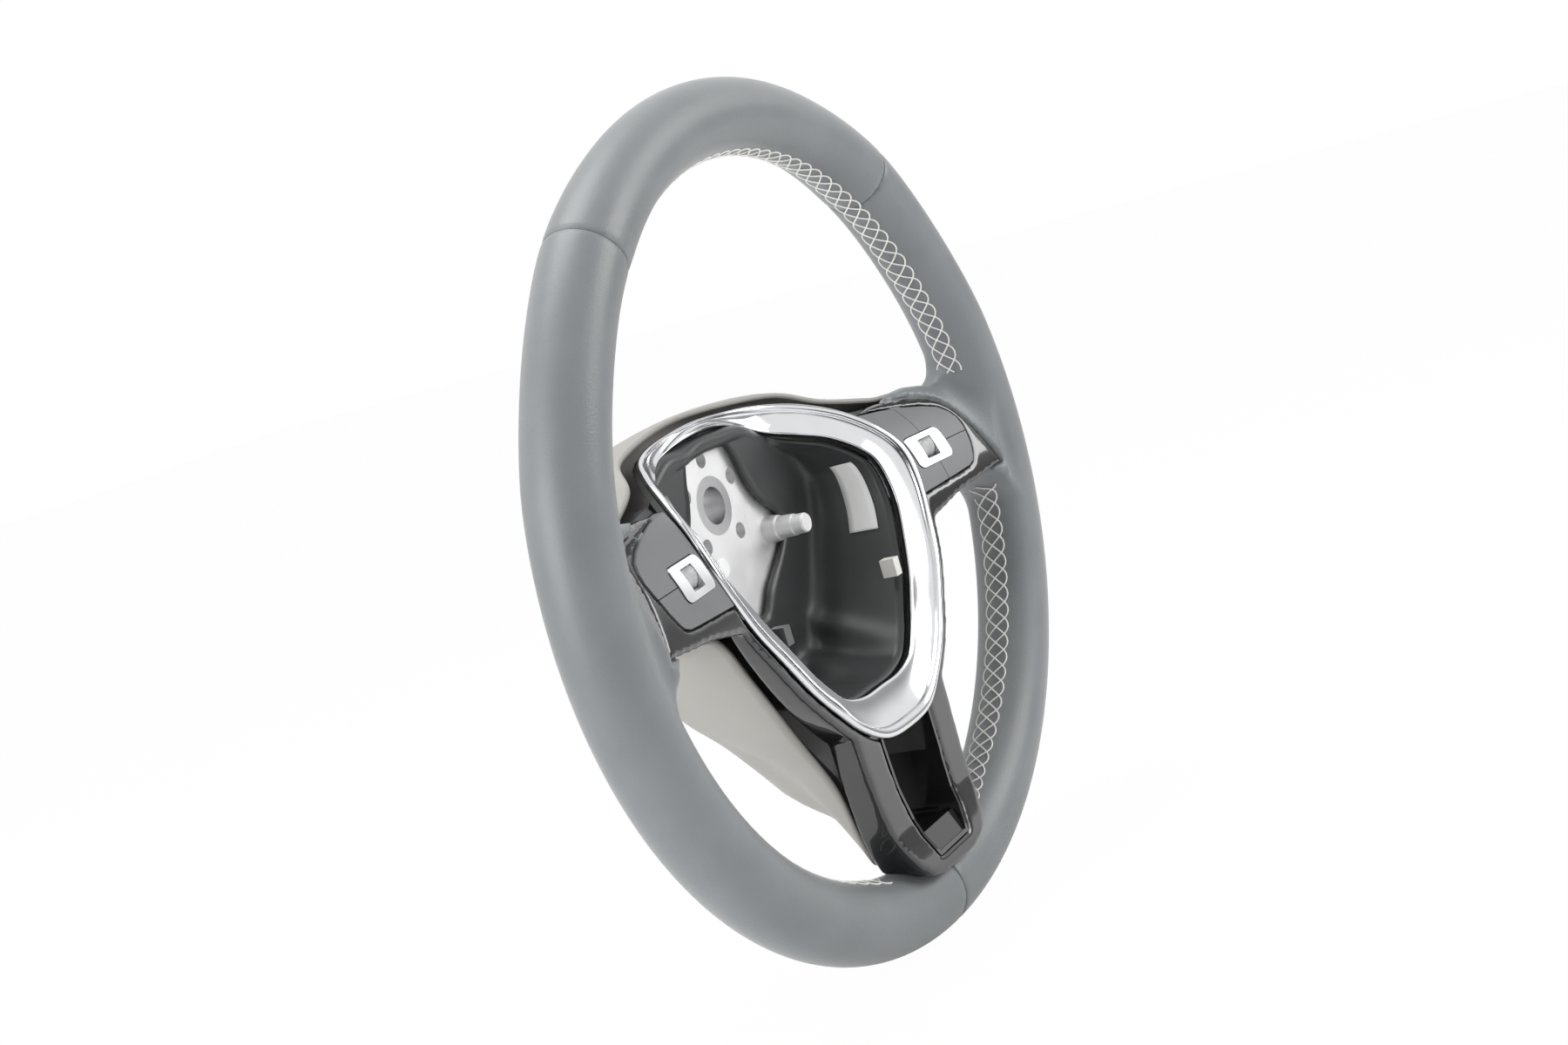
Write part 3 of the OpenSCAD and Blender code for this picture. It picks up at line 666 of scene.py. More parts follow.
def skin(distance: Callable[[np.ndarray], np.ndarray], low: Colour, high: Colour,
         cell: float) -> tuple[np.ndarray, list[Quad]]:
    """Covers a form with even quads.

    Args:
        distance: The form's distance.
        low: Lowest corner of the space searched.
        high: Highest corner.
        cell: Size of the quads.

    Returns:
        The vertices and the quads.
    """
    axes = [np.arange(low[i], high[i] + cell, cell) for i in range(3)]
    shape = tuple(len(a) for a in axes)
    value = np.empty(shape)
    plane = np.stack(np.meshgrid(axes[1], axes[2], indexing="ij"), axis=-1)
    for i, x in enumerate(axes[0]):
        value[i] = distance(np.concatenate([np.full(plane.shape[:2] + (1,), x), plane], axis=-1))
    inside = value < 0
    cells = tuple(n - 1 for n in shape)
    total = np.zeros(cells + (3,))
    count = np.zeros(cells)
    for axis in range(3):
        others = [a for a in range(3) if a != axis]
        for one in (0, 1):
            for two in (0, 1):
                start = [slice(0, -1)] * 3
                start[others[0]] = slice(one, shape[others[0]] - 1 + one)
                start[others[1]] = slice(two, shape[others[1]] - 1 + two)
                end = list(start)
                end[axis] = slice(1, None)
                va, vb = value[tuple(start)], value[tuple(end)]
                crossing = (va < 0) != (vb < 0)
                share = np.where(crossing, va / np.where(crossing, va - vb, 1), 0)
                offset = np.zeros(cells + (3,))
                offset[..., axis] = share
                offset[..., others[0]] = one
                offset[..., others[1]] = two
                total += offset * crossing[..., None]
                count += crossing
    used = count > 0
    number = np.full(cells, -1)
    number[used] = np.arange(used.sum())
    where = np.argwhere(used)
    points = np.array(low) + (where + total[used] / count[used][:, None]) * cell
    faces: list[Quad] = []
    for axis in range(3):
        others = [a for a in range(3) if a != axis]
        start = [slice(1, -1)] * 3
        start[axis] = slice(0, -1)
        end = list(start)
        end[axis] = slice(1, None)
        change = inside[tuple(start)] != inside[tuple(end)]
        spots = np.argwhere(change)
        spots[:, others[0]] += 1
        spots[:, others[1]] += 1
        leaving = inside[tuple(spots.T)]
        one, two = np.eye(3, dtype=int)[others[0]], np.eye(3, dtype=int)[others[1]]
        ring = [number[tuple((spots - a * one - b * two).T)]
                for a, b in ((0, 0), (1, 0), (1, 1), (0, 1))]
        quads = np.stack(ring, axis=-1)
        flip = leaving if axis == 1 else ~leaving
        quads[flip] = quads[flip][:, ::-1]
        faces.extend(map(tuple, quads.tolist()))
    return points, faces


def face_depth(x: np.ndarray, z: np.ndarray) -> np.ndarray:
    """Gives the depth of the spoke face.

    Args:
        x: Places across, either side.
        z: Places up.

    Returns:
        The depth behind the rim's middle plane.
    """
    bow = np.where(z > 0, FACE_BOW_UP, FACE_BOW_DOWN)
    return FACE_MID + FACE_SLOPE * z + bow * z * z - FACE_SWEEP * (np.abs(x) - FACE_MID_X)


@dataclass
class Rim:
    """The leather-covered rim: sizes, form and stitching."""

    wardrobe: Wardrobe
    outer_d: float = 369.2
    grip_d: float = 31.2
    slim: float = 0.9
    slim_angle: float = 37.0
    slim_fade: float = 12.0
    seam_angle: float = 40.2
    rest_angle: float = 57.0
    rest_half_angle: float = 18.0
    rest_depth: float = 3.6
    rest_flat: float = 0.1
    rest_share: float = 0.25
    rest_blend: float = 5.0
    cell: float = 1.7
    foam_cell: float = 1.8
    search_y: float = 20.0
    root_blend: float = 13.0
    root_front_edge: float = 3.0
    root_back_edge: float = 4.0
    root: tuple[tuple[float, float], ...] = (
        (106, 22), (106, 29.2), (114, 30.6), (126, 30.4), (136, 28.5), (144, 26), (168, 30), (168, -30),
        (149, -23), (140, -18), (140, 5), (134.5, 15), (130, 20.5))
    wing: tuple[tuple[float, float], ...] = (
        (75, 29.4), (83, 24.4), (88, 27), (96, 28), (105, 28), (115, 27), (125, 24.9), (132, 22.1),
        (135.8, 19.6), (138.5, 15.4), (150, -17), (110, -21), (92, -25), (75, -28))
    wing_gap: float = 0.45
    face_gap: float = 0.2
    ease_x: float = 150.0
    ease_y: float = 14.0
    ease_slope: float = 1.2
    back: float = 19.0
    back_x: float = 146.0
    back_slope: float = 0.8
    shell: float = 3.0
    leather_t: float = 2.2
    seam_gap: float = 0.16
    seam_roll: float = 0.55
    seam_roll_w: float = 1.1
    seam_turn: float = 1.6
    stitch: float = 8.0
    stitch_half: float = 5.5
    stitch_shape: tuple[tuple[float, float], ...] = (
        (-2.0, -1.0), (-1.72, -1.0), (-0.28, 1.0), (0.28, 1.0), (1.72, -1.0), (2.0, -1.0))
    stitch_points: int = 4
    row_spans: tuple[tuple[float, float], ...] = ((11.8, 168.2), (-74.8, -7.8), (-172.2, -105.2))
    row_over: float = 0.3
    foot_angle: float = 15.2
    foot_fade: float = 10.0
    foot_lean: float = 0.2
    rise_back: float = 0.16
    rise_front: float = 0.24
    rise_wave: float = 0.12
    rise_turn: float = 3.1
    thread_r: float = 0.36
    thread_sides: int = 6

    @property
    def mid_r(self) -> float:
        """Radius of the grip's middle line."""
        return (self.outer_d - self.grip_d) / 2

    def distance(self, points: np.ndarray) -> np.ndarray:
        """Measures to the leather's outer surface.

        Args:
            points: Places in the rim frame.

        Returns:
            The distances, negative inside.
        """
        x, y, z = np.abs(points[..., 0]), points[..., 1], points[..., 2]
        reach = np.hypot(x, z)
        from_top = np.degrees(np.arctan2(x, z))
        wave = np.clip(np.abs(from_top - self.rest_angle) / self.rest_half_angle, 0, 1)
        inset = self.rest_depth * np.cos(wave * np.pi / 2) ** 2
        thin = self.slim * np.clip((self.slim_angle - from_top) / self.slim_fade, 0, 1)
        tube = np.hypot(reach - self.mid_r - thin, y) - self.grip_d / 2 + thin
        rest = np.hypot(reach - self.mid_r + inset, y) - self.grip_d / 2
        rest = rest + self.rest_flat + thin + inset * self.rest_share
        grip = round_min(tube, rest, self.rest_blend)
        front = face_depth(x, z) + self.face_gap
        root = outline_distance(x, z, np.array(self.root))
        ease = np.maximum(front, self.ease_slope * np.maximum(x - self.ease_x, 0.0) - self.ease_y)
        root = round_max(root, ease - y, self.root_front_edge)
        behind = y - self.back + self.back_slope * np.maximum(x - self.back_x, 0.0)
        root = round_max(root, behind, self.root_back_edge)
        form = round_min(grip, root, self.root_blend)
        wing = outline_distance(x, z, np.array(self.wing)) - self.wing_gap
        recess = np.maximum(wing, y - front - self.shell)
        return np.maximum(form, -recess)

    def filling(self, points: np.ndarray) -> np.ndarray:
        """Measures to the foam under the leather.

        Args:
            points: Places in the rim frame.

        Returns:
            The distances, negative inside.
        """
        return self.distance(points) + self.leather_t

    def build(self) -> list[bpy.types.Object]:
        """Makes the three leather sections, the foam under them and the thread.

        Returns:
            The pieces.
        """
        half = self.outer_d / 2 + 2
        low, high = (-half, -self.search_y, -half), (half, self.search_y, half)
        points, faces = skin(self.distance, low, high, self.cell)
        points = settle(points, self.distance)
        seam = math.radians(self.seam_angle)
        right = Vector((math.cos(seam), 0, -math.sin(seam)))
        left = Vector((-math.cos(seam), 0, -math.sin(seam)))
        across = Vector((1, 0, 0))
        made = [
            self.section("cover_top", points, faces, [right, left], "leather_top"),
            self.section("cover_right", points, faces, [-right, -across], "leather_right"),
            self.section("cover_left", points, faces, [-left, across], "leather_left"),
            self.threads(),
        ]
        points, faces = skin(self.filling, low, high, self.cell * self.foam_cell)
        foam = make_object("rim_padding", settle(points, self.filling), faces, self.wardrobe.get(Look.FOAM))
        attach(foam, WHEEL)
        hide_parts("rim_foam")
        return made + [foam]

    def inward(self, spot: Vector) -> Vector:
        """Finds the way from a place on the cover to the grip's middle line.

        Args:
            spot: The place from the rim's centre, metres.

        Returns:
            A unit vector.
        """
        flat = Vector((spot.x, 0, spot.z))
        return (flat.normalized() * (self.mid_r * MM) - spot).normalized()

    def section(self, name: str, points: np.ndarray, faces: list[Quad],
                cuts: list[Vector], node: str) -> bpy.types.Object:
        """Cuts one leather section out of the whole cover and turns its ends in.

        Args:
            name: The piece's name.
            points: Vertices of the whole cover.
            faces: Its quads.
            cuts: Normals of the planes whose far side is cut off.
            node: The solid that it stands for.

        Returns:
            The piece.
        """
        made = make_object(name, points, faces, self.wardrobe.get(Look.LEATHER))
        form = bmesh.new()
        form.from_mesh(made.data)
        centre = Vector(to_row(np.zeros(3)))
        gap = self.seam_gap * MM
        for normal in cuts:
            bmesh.ops.bisect_plane(form, geom=form.verts[:] + form.edges[:] + form.faces[:],
                                   plane_co=centre - normal * gap, plane_no=normal, clear_outer=True)
        form.normal_update()
        for vert in form.verts:
            spot = vert.co - centre
            near = min(abs(spot.dot(normal) + gap) for normal in cuts)
            roll = self.seam_roll * MM * math.exp(-(near / (self.seam_roll_w * MM)) ** 2)
            vert.co += self.inward(spot) * roll
        ends = [e for e in form.edges if e.is_boundary]
        grown = bmesh.ops.extrude_edge_only(form, edges=ends)
        for vert in (g for g in grown["geom"] if isinstance(g, bmesh.types.BMVert)):
            vert.co += self.inward(vert.co - centre) * (self.seam_turn * MM)
        for face in form.faces:
            face.smooth = True
        bmesh.ops.recalc_face_normals(form, faces=form.faces[:])
        form.to_mesh(made.data)
        form.free()
        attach(made, WHEEL)
        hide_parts(node)
        return made

    def threads(self) -> bpy.types.Object:
        """Sews the cross stitch along the inside of the rim.

        Returns:
            The thread of the whole wheel as one piece.
        """
        inner = self.mid_r - self.grip_d / 2
        points: list[np.ndarray] = []
        faces: list[tuple[int, ...]] = []
        total = 0
        for span in self.row_spans:
            first, last = map(math.radians, span)
            count = int((last - first) * inner / self.stitch)
            for k in range(-1, count + 1):
                path = self.stitch_path(first, k, count)
                if path is None:
                    continue
                ring = self.thread_rings(path)
                points.append(ring.reshape(-1, 3))
                faces.extend(tuple(v + total for v in f)
                             for f in grid_faces(*ring.shape[:2], False, True))
                total += ring.shape[0] * ring.shape[1]
        made = make_object("cross_stitch", np.concatenate(points), faces, self.wardrobe.get(Look.THREAD))
        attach(made, WHEEL)
        return made

    def stitch_path(self, first: float, k: int, count: int) -> np.ndarray | None:
        """Lays out one stitch: in from the back edge, along the front edge and back again.

        Args:
            first: Angle where the row starts.
            k: The stitch's number.
            count: Stitches in the row.

        Returns:
            Its middle line on the leather, or None where nothing of it is in the row.
        """
        corners = np.array(self.stitch_shape) + (k, 0.0)
        line = [corners[0]]
        for start, end in zip(corners, corners[1:]):
            parts = max(2, int(np.hypot(*(end - start)) * self.stitch_points))
            line.extend(start + (end - start) * (i + 1) / parts for i in range(parts))
        path = np.array(line)
        for _ in range(2):
            path[1:-1] = (path[:-2] + 2 * path[1:-1] + path[2:]) / 4
        path = path[(path[:, 0] >= -self.row_over) & (path[:, 0] <= count + self.row_over)]
        if len(path) < 4:
            return None
        inner = self.mid_r - self.grip_d / 2
        turn = first + path[:, 0] * self.stitch / inner
        from_foot = np.abs(np.degrees(turn) + 90.0) - self.foot_angle
        r = self.grip_d / 2
        lean = path[:, 1] * self.stitch_half / r
        lean = lean + self.foot_lean * np.clip(1 - from_foot / self.foot_fade, 0, 1)
        reach = self.mid_r - r * np.cos(lean)
        spots = np.stack([reach * np.cos(turn), -r * np.sin(lean), reach * np.sin(turn)], axis=-1)
        rise = np.where(path[:, 1] < 0, self.rise_back, self.rise_front)
        rise = rise + self.rise_wave * np.cos(path[:, 1] * self.rise_turn)
        return settle(spots, self.distance, rise, rounds=6)

    def thread_rings(self, path: np.ndarray) -> np.ndarray:
        """Puts rings of points round a thread's middle line.

        Args:
            path: The middle line.

        Returns:
            The rings.
        """
        ahead = np.gradient(path, axis=0)
        ahead /= np.linalg.norm(ahead, axis=1, keepdims=True)
        flat = np.stack([path[:, 0], np.zeros(len(path)), path[:, 2]], axis=1)
        up = path - flat / np.linalg.norm(flat, axis=1, keepdims=True) * self.mid_r
        side = np.cross(ahead, up)
        side /= np.linalg.norm(side, axis=1, keepdims=True)
        up = np.cross(side, ahead)
        angles = (np.arange(self.thread_sides) * math.tau / self.thread_sides)[None, :, None]
        return path[:, None] + self.thread_r * (
            np.cos(angles) * side[:, None] + np.sin(angles) * up[:, None])


@dataclass
class Ring:
    """The bright ring, the shroud behind it and the places that both follow."""

    wardrobe: Wardrobe
    half_w: float = 89.0
    up: float = 49.5
    down: float = 96.0
    back: float = 51.0
    front: float = 13.5
    front_most: float = 0.265
    down_most: float = 1.94
    wall: float = 1.8
    steps: int = 12
    row_steps: int = 7
    seat: float = 5.4
    wall_share: float = 0.97
    heel_share: float = 0.9
    folds: tuple[Colour, ...] = (
        (-2.5, 0.16, 3.4), (-2.1, 0.12, -2.4), (-1.75, 0.13, 3.4), (-1.4, 0.1, -2.4),
        (-1.1, 0.12, 3.6), (-0.72, 0.1, 2.6), (2.7, 0.2, 1.6), (1.9, 0.12, 2.2))
    fold_lean: float = 0.35
    fold_limit: float = -1.2
    fold_centre_z: float = -20.0
    label_rows: tuple[int, int] = (76, 105)
    label_columns: tuple[int, int] = (2, 7)
    label_lift: float = 2.5
    label_t: float = 0.2
    floor_y: float = 49.8
    outer_share: tuple[Colour, ...] = (
        (0, -0.265, -1.94), (0.225, -0.26, -1.9), (0.405, -0.245, -1.717), (0.562, -0.235, -1.455),
        (0.686, -0.206, -1.192), (0.814, -0.176, -0.849), (0.91, -0.118, -0.525), (0.978, -0.06, -0.162),
        (1, 0.02, 0.141), (0.958, 0.165, 0.384), (0.868, 0.405, 0.626), (0.735, 0.667, 0.808),
        (0.562, 0.882, 0.919), (0.315, 0.98, 0.98), (0, 1, 1))
    inner_share: tuple[Colour, ...] = (
        (0, -0.11, -1.535), (0.18, -0.11, -1.53), (0.331, -0.102, -1.455), (0.427, -0.088, -1.303),
        (0.506, -0.069, -1.131), (0.607, -0.049, -0.869), (0.713, 0, -0.545), (0.798, 0.059, -0.222),
        (0.831, 0.157, 0.101), (0.803, 0.265, 0.283), (0.725, 0.47, 0.465), (0.618, 0.647, 0.576),
        (0.511, 0.843, 0.677), (0.33, 0.95, 0.84), (0, 0.9, 0.945))
    window_share: tuple[tuple[float, float], ...] = (
        (0, -0.808), (0.101, -0.798), (0.146, -0.727), (0.191, -0.626), (0.247, -0.545), (0.326, -0.444),
        (0.427, -0.303), (0.478, -0.162), (0.449, -0.03), (0.36, 0.101), (0.298, 0.242), (0.258, 0.404),
        (0.23, 0.586), (0.169, 0.768), (0, 0.848))
    section: tuple[tuple[float, float], ...] = (
        (0, -0.9), (0, -0.2), (0.006, 0.3), (0.02, 0.62), (0.05, 0.9), (0.1, 1.08), (0.15, 1.1),
        (0.195, 0.92), (0.225, 0.5), (0.238, 0.0), (0.25, -0.4), (0.28, -0.62), (0.36, -0.8), (0.48, -0.96), (0.6, -1.0),
        (0.74, -0.88), (0.86, -0.6), (0.93, -0.36), (0.965, -0.34), (0.988, -0.5), (1, -0.85), (1, -2.2),
        (0.1, -2.2))

    def edge(self, shares: Sequence[Colour]) -> np.ndarray:
        """Turns shares into a smooth closed edge.

        Args:
            shares: Places from the foot to the top.

        Returns:
            The edge's points, up the right-hand side and down the left.
        """
        half = [(x * self.half_w, y * self.front / self.front_most if y < 0 else y * self.back,
                 z * self.down / self.down_most if z < 0 else z * self.up) for x, y, z in shares]
        return smooth_loop(np.array(half), self.steps)

    def normals(self, outer: np.ndarray, inner: np.ndarray) -> np.ndarray:
        """Finds the way out of the ring's face.

        Args:
            outer: The outer edge.
            inner: The inner edge.

        Returns:
            One unit vector per point.
        """
        ahead = np.roll(outer, -1, axis=0) - np.roll(outer, 1, axis=0)
        way = np.cross(ahead, inner - outer)
        return way / np.linalg.norm(way, axis=1, keepdims=True)

    def build(self) -> list[bpy.types.Object]:
        """Makes the ring and the shroud.

        Returns:
            The pieces.
        """
        outer, inner = self.edge(self.outer_share), self.edge(self.inner_share)
        normal = self.normals(outer, inner)
        shares = np.array(self.section)
        rings = outer[:, None] + (inner - outer)[:, None] * shares[:, :1] + normal[:, None] * shares[:, 1:]
        trim = make_object("bright_ring", rings.reshape(-1, 3), grid_faces(*rings.shape[:2], True, True),
                           self.wardrobe.get(Look.BRIGHT))
        tidy_normals(trim)
        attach(trim, WHEEL)
        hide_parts("ring_trim")
        return [trim, self.shroud(inner, normal)]

    def shroud(self, inner: np.ndarray, normal: np.ndarray) -> bpy.types.Object:
        """Makes the shroud from under the ring to the window round the hub.

        Args:
            inner: The ring's inner edge.
            normal: The way out of the ring's face.

        Returns:
            The piece.
        """
        half = np.array([(x * self.half_w, 0, z * self.up) for x, z in self.window_share])
        window = smooth_loop(half, self.steps)
        start = inner - normal * self.seat
        deep = np.full(len(inner), self.floor_y - 3.0)
        middle = start[:, 1] + (deep - start[:, 1]) * 0.6
        middle = np.minimum(np.maximum(middle, start[:, 1] + 1.0), deep)
        wall = np.stack([start[:, 0] * self.wall_share, middle, start[:, 2] * self.wall_share], axis=1)
        heel = np.stack([start[:, 0] * self.heel_share, deep, start[:, 2] * self.heel_share], axis=1)
        lip = np.stack([window[:, 0], np.full(len(inner), self.floor_y - 2.0), window[:, 2]], axis=1)
        rows = smooth_rows(np.stack([start, wall, heel, lip], axis=1), self.row_steps)
        turn = np.arctan2(rows[:, :, 2] - self.fold_centre_z, rows[:, :, 0])
        part = np.linspace(0, 1, rows.shape[1])[None, :]
        held = np.sin(part * np.pi) ** 1.5
        folds = np.zeros_like(turn)
        for centre, width, size in self.folds:
            bend = np.angle(np.exp(1j * (turn - centre - self.fold_lean * (part - 0.5))))
            folds += size * np.exp(-(bend / width) ** 2)
        inward = -rows.copy()
        inward[:, :, 1] = 0
        inward /= np.maximum(np.linalg.norm(inward, axis=2, keepdims=True), 1e-6)
        rows = rows + inward * (np.maximum(folds, self.fold_limit) * held)[..., None]
        made = make_object("shroud_lining", rows.reshape(-1, 3), grid_faces(*rows.shape[:2], True, False),
                           self.wardrobe.get(Look.LINING))
        thicken(made, self.wall)
        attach(made, WHEEL)
        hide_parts("inner_shroud")
        span = slice(*self.label_rows), slice(*self.label_columns)
        self.label(rows[span], inward[span])
        return made

    def label(self, wall: np.ndarray, inward: np.ndarray) -> None:
        """Lays the blank label on the shroud's wall.

        Args:
            wall: The part of the wall that it covers.
            inward: The way off the wall at each point.
        """
        spots = wall + inward * self.label_lift
        made = make_object("paper_label", spots.reshape(-1, 3), grid_faces(*spots.shape[:2], False, False),
                           self.wardrobe.get(Look.PAPER))
        thicken(made, self.label_t)
        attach(made, WHEEL)
        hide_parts("blank_label")


@dataclass
class PostSleeves:
    """The stepped sleeves on the two guide posts."""

    wardrobe: Wardrobe
    post_x: float = 36.0
    post_z: float = -8.0
    foot: float = 51.5
    profile: tuple[tuple[float, float], ...] = (
        (0.0, 6.6), (7.5, 5.7), (8.2, 5.1), (15.5, 4.9), (16.0, 4.5), (20.9, 4.4), (21.6, 3.7), (21.6, 0.02))
    sides: int = 40

    def build(self) -> list[bpy.types.Object]:
        """Makes both sleeves.

        Returns:
            The pieces.
        """
        made = []
        for name, side in (("post_sleeve_left", -1), ("post_sleeve_right", 1)):
            turn = np.arange(self.sides) * math.tau / self.sides
            rings = np.array([[(side * self.post_x + r * math.cos(a), self.foot - reach,
                                self.post_z + r * math.sin(a)) for a in turn]
                              for reach, r in self.profile])
            piece = make_object(name, rings.reshape(-1, 3), grid_faces(*rings.shape[:2], False, True),
                                self.wardrobe.get(Look.CAST), smooth=False)
            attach(piece, WHEEL)
            made.append(piece)
        return made


@dataclass
class BackShell:
    """The deep rear cover."""

    wardrobe: Wardrobe
    reach: float = 150.0
    depth: float = 68.0
    down: float = 148.0
    hole_r: float = 24.0
    wall: float = 2.2
    steps: int = 7
    row_steps: int = 5
    upper_bulge: float = 0.06
    lower_bulge: float = 0.12
    front_share: tuple[Colour, ...] = (
        (0, 0.085, -1), (0.17, 0.085, -0.99), (0.24, 0.06, -0.91), (0.28, 0.075, -0.73), (0.39, 0.09, -0.53),
        (0.49, 0.12, -0.33), (0.57, 0.15, -0.19), (0.78, 0.09, -0.15), (0.9, 0.09, -0.12), (0.9, 0.24, 0.16),
        (0.72, 0.34, 0.21), (0.54, 0.47, 0.26), (0.4, 0.68, 0.33), (0, 0.82, 0.365))
    mid_share: tuple[Colour, ...] = (
        (0, 0.32, -0.89), (0.13, 0.3, -0.87), (0.2, 0.36, -0.76), (0.27, 0.5, -0.62), (0.36, 0.68, -0.49),
        (0.45, 0.74, -0.33), (0.53, 0.65, -0.21), (0.7, 0.44, -0.15), (0.86, 0.36, -0.1), (0.86, 0.42, 0.13),
        (0.67, 0.56, 0.21), (0.51, 0.74, 0.28), (0.37, 0.86, 0.34), (0, 0.9, 0.365))
    back_share: tuple[Colour, ...] = (
        (0, 1, -0.42), (0.12, 1, -0.4), (0.2, 1, -0.35), (0.28, 1, -0.28), (0.33, 1, -0.2), (0.36, 1, -0.11),
        (0.38, 1, -0.04), (0.4, 1, 0.02), (0.4, 1, 0.07), (0.385, 1, 0.13), (0.36, 1, 0.2), (0.29, 1, 0.27),
        (0.2, 1, 0.3), (0, 1, 0.32))

    def build(self) -> bpy.types.Object:
        """Makes the cover as a smooth shell.

        Returns:
            The piece.
        """
        size = np.array([self.reach, self.depth, self.down])
        front, mid, back = (smooth_loop(np.array(share) * size, self.steps)
                            for share in (self.front_share, self.mid_share, self.back_share))
        way = np.stack([back[:, 0], np.zeros(len(back)), back[:, 2] - HUB_RISE], axis=1)
        way /= np.linalg.norm(way, axis=1, keepdims=True)
        hole = way * self.hole_r + np.array([0, self.depth, HUB_RISE])
        over_hole = hole.copy()
        over_hole[:, 1] = front[:, 1]
        upper = front * 0.45 + mid * 0.55 + (mid - back) * self.upper_bulge
        lower = (mid + back) / 2 + (mid - over_hole) * self.lower_bulge
        rows = smooth_rows(np.stack([front, upper, mid, lower, back, hole], axis=1), self.row_steps)
        rows[:, :, 1] = np.minimum(rows[:, :, 1], self.depth)
        made = make_object("back_shell", rows.reshape(-1, 3), grid_faces(*rows.shape[:2], True, False),
                           self.wardrobe.get(Look.SHELL))
        thicken(made, self.wall)
        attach(made, WHEEL)
        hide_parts("rear_cover")
        return made


@dataclass
class Studio:
    """Floor, light and camera."""

    lens: float = 51.02
    eye: Colour = (-784.25, -477.25, 128.83)
    right: Colour = (0.479107, -0.831211, -0.282035)
    down: Colour = (-0.263811, 0.170097, -0.949458)
    ahead: Colour = (0.837174, 0.529296, -0.137788)
    floor_z: float = -185.0
    floor_side: float = 6000.0
    floor_glow: float = 0.975
    soft: float = 0.42
    dim_ahead: tuple[float, ...] = (0.66, 0.92, 1.0, 0.06)
    dim_low: tuple[float, ...] = (0.04, 0.24, 0.4, 1.0)
    lamps: tuple[tuple[str, Colour], ...] = (
        ("left", (-1500, 450, 500)), ("front", (900, -1300, 700)), ("top", (-100, 300, 1500)))
    lamp_size: float = 1000.0
    lamp_power: float = 14.0

    def build(self) -> None:
        """Sets up the whole studio."""
        self.camera()
        self.world()
        self.floor()
        for name, place in self.lamps:
            self.lamp(name, place)
        bpy.context.scene.view_settings.view_transform = "Standard"

    def camera(self) -> None:
        """Places the camera where the photograph was taken."""
        data = bpy.data.cameras.new("camera")
        data.lens = self.lens
        data.sensor_width = 36.0
        data.clip_start = 0.01
        made = bpy.data.objects.new("camera", data)
        bpy.context.scene.collection.objects.link(made)
        back = tuple(-v for v in self.ahead)
        turn = Matrix((self.right, tuple(-v for v in self.down), back)).transposed()
        made.matrix_world = Matrix.Translation(Vector(to_row(np.array(self.eye)))) @ turn.to_4x4()
        bpy.context.scene.camera = made

    def world(self) -> None:
        """Lights softly on white, and dims reflections of the camera's side and of what is low."""
        world = bpy.data.worlds.new("studio")
        bpy.context.scene.world = world
        world.use_nodes = True
        sky = Tree(world.node_tree)
        camera = sky.read("ShaderNodeLightPath", "Is Camera Ray")
        glossy = sky.read("ShaderNodeLightPath", "Is Glossy Ray")
        way = sky.read("ShaderNodeTexCoord", "Generated")
        toward = sky.read("ShaderNodeVectorMath", "Value", {"operation": "DOT_PRODUCT"}, {
            0: way, 1: tuple(-v for v in self.ahead)})
        height = sky.read("ShaderNodeSeparateXYZ", "Z", {}, {0: way})
        dim = toward.ramp(*self.dim_ahead, "SMOOTHSTEP") * height.ramp(*self.dim_low, "SMOOTHSTEP")
        soft = sky.read("ShaderNodeBackground", 0, {}, {
            "Color": (1, 1, 1, 1), "Strength": self.soft})
        white = sky.read("ShaderNodeBackground", 0, {}, {"Color": dim.larger(camera), "Strength": 1.0})
        mixed = sky.read("ShaderNodeMixShader", 0, {}, {0: camera.larger(glossy), 1: soft, 2: white})
        sky.node("ShaderNodeOutputWorld", {}, {"Surface": mixed})

    def floor(self) -> None:
        """Lays a plain pale floor under the wheel."""
        side = self.floor_side
        corners = np.array([[-side, -side, self.floor_z], [side, -side, self.floor_z],
                            [side, side, self.floor_z], [-side, side, self.floor_z]])
        shader = Shader("floor")
        shader.set(Base_Color=(0.97, 0.97, 0.97, 1.0), Roughness=0.95)
        seen = shader.read("ShaderNodeLightPath", "Is Camera Ray") * self.floor_glow
        white = shader.read("ShaderNodeEmission", 0)
        mixed = shader.read("ShaderNodeMixShader", 0, {}, {0: seen, 1: shader.surface, 2: white})
        shader.graph.links.new(mixed.socket, shader.output.inputs["Surface"])
        made = make_object("floor", corners, [(0, 1, 2, 3)], shader.material, smooth=False)

    def lamp(self, name: str, place: Colour) -> None:
        """Hangs one soft lamp aimed at the hub.

        Args:
            name: Its name.
            place: Where it hangs, rim frame, millimetres.
        """
        data = bpy.data.lights.new(name, "AREA")
        data.size = self.lamp_size * MM
        data.energy = self.lamp_power
        made = bpy.data.objects.new(name, data)
        bpy.context.scene.collection.objects.link(made)
        spot = Vector(to_row(np.array(place)))
        made.location = spot
        made.rotation_euler = (-spot).to_track_quat("-Z", "Y").to_euler()


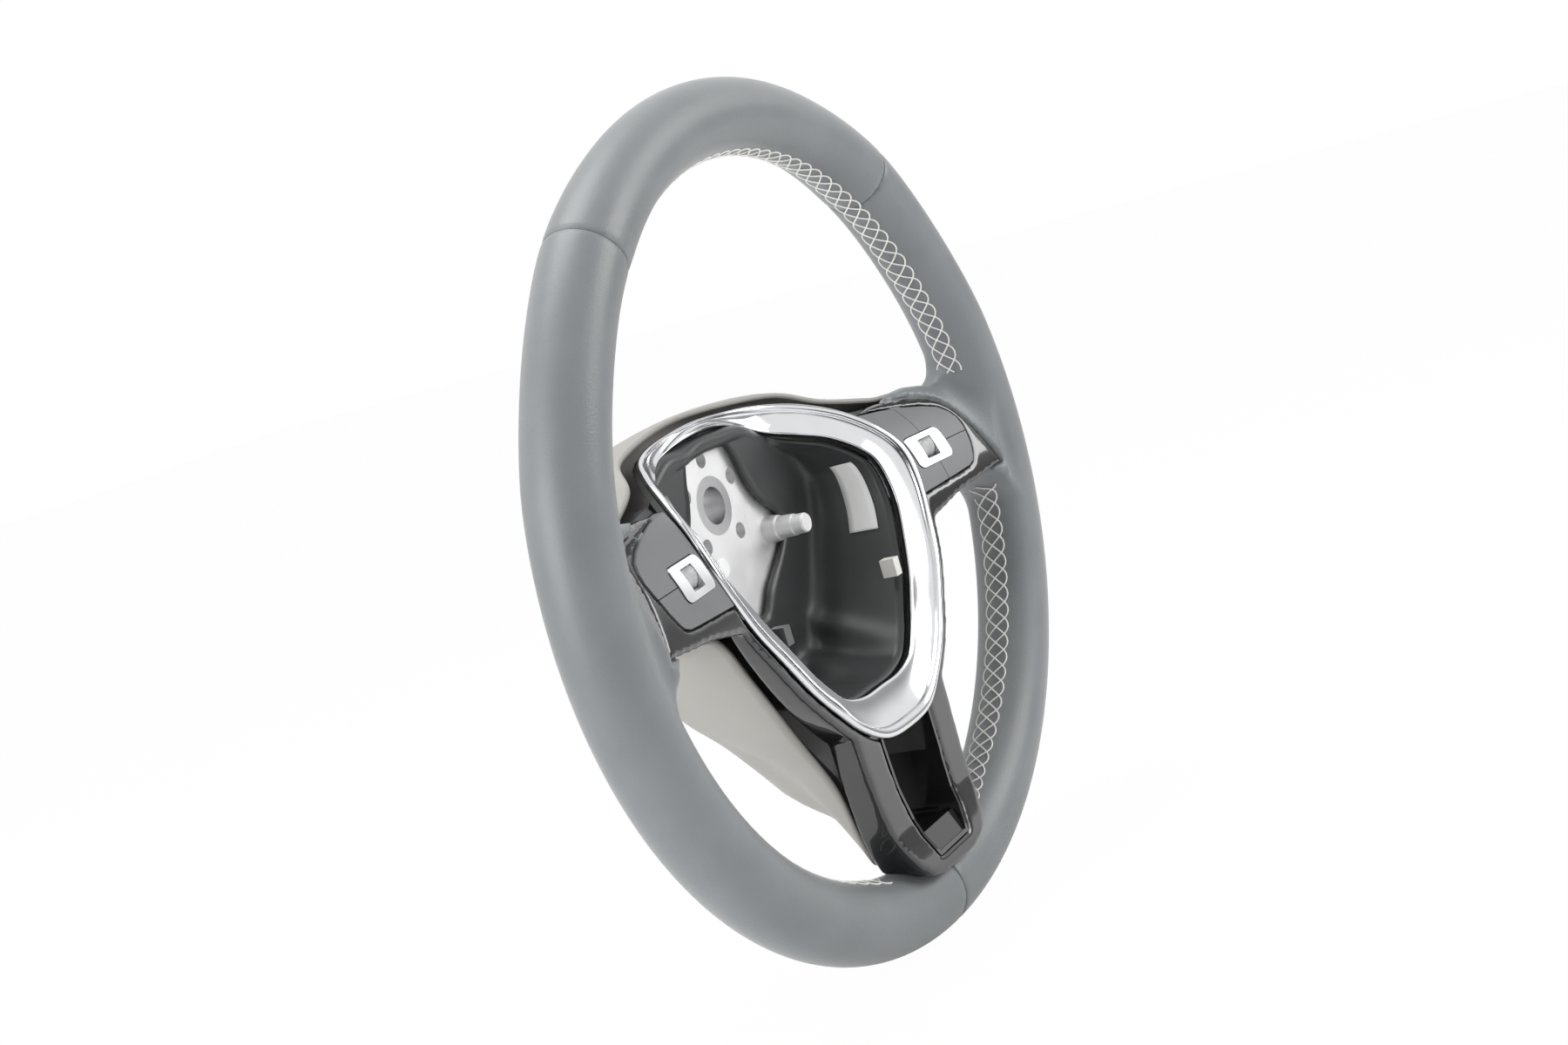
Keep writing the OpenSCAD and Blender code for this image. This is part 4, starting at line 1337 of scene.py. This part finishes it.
NODE_LOOKS: dict[str, Look] = {
    "armature": Look.CAST, "rim_core": Look.STEEL, "column_insert": Look.STEEL,
    "rim_foam": Look.FOAM, "leather": Look.LEATHER,
    "ring_trim": Look.BRIGHT, "ring_carrier": Look.DARK, "front_bezel": Look.GLOSS, "pocket_insert": Look.GLOSS,
    "inner_shroud": Look.DARK, "rear_cover": Look.SHELL, "switch_housing": Look.DARK, "surround": Look.SILVER,
    "roller_carrier": Look.DARK, "roller_pin": Look.STEEL, "roller": Look.ROLLER, "button": Look.SWITCH,
    "dome_mat": Look.RUBBER, "switch_board": Look.BOARD, "blank_label": Look.PAPER, "side_clips": Look.PALE,
    "cover_screws": Look.STEEL,
}
SECOND_LOOKS: dict[str, tuple[Look, Callable[[Vector], bool]]] = {
    "side_clips": (Look.SKIRT, lambda spot: spot.x < 0),
}
MOULDED = {"front_bezel": 0.75}
SOFT_EDGED = ("pocket_insert", "button", "surround", "side_clips", "armature")


def dress_nodes(wardrobe: Wardrobe) -> None:
    """Gives every solid of the wheel its finish.

    Args:
        wardrobe: Where the finishes come from.
    """
    for name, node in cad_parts.items():
        look = next(value for start, value in NODE_LOOKS.items() if name.startswith(start))
        node.data.materials.clear()
        node.data.materials.append(wardrobe.get(look))
        for face in node.data.polygons:
            face.material_index = 0
        if name in SECOND_LOOKS:
            other, chosen = SECOND_LOOKS[name]
            node.data.materials.append(wardrobe.get(other))
            for face in node.data.polygons:
                face.material_index = int(chosen(face.center / MM - Vector(SHIFT)))
        if name in MOULDED:
            even = node.modifiers.new("even_mesh", "REMESH")
            even.mode = "VOXEL"
            even.voxel_size = MOULDED[name] * MM
            even.use_smooth_shade = True
            flow = node.modifiers.new("flow", "SMOOTH")
            flow.factor = EVEN_FACTOR
            flow.iterations = EVEN_ROUNDS
        if name.startswith(SOFT_EDGED):
            edge = node.modifiers.new("soft_edge", "BEVEL")
            edge.width = EDGE_W * MM
            edge.segments = EDGE_STEPS
            edge.limit_method = "ANGLE"
            edge.angle_limit = math.radians(EDGE_ANGLE)
            edge.harden_normals = True


def main() -> None:
    """Builds and dresses everything in order."""
    logging.basicConfig(level=logging.INFO, format="%(name)s: %(message)s")
    wardrobe = Wardrobe()
    Studio().build()
    LOG.info("studio ready")
    dress_nodes(wardrobe)
    LOG.info("solids dressed")
    for piece in Ring(wardrobe).build():
        LOG.info("ring piece %s", piece.name)
    for piece in PostSleeves(wardrobe).build():
        LOG.info("post piece %s", piece.name)
    LOG.info("piece %s", BackShell(wardrobe).build().name)
    for piece in Rim(wardrobe).build():
        LOG.info("rim piece %s", piece.name)


if __name__ == "__main__":
    main()
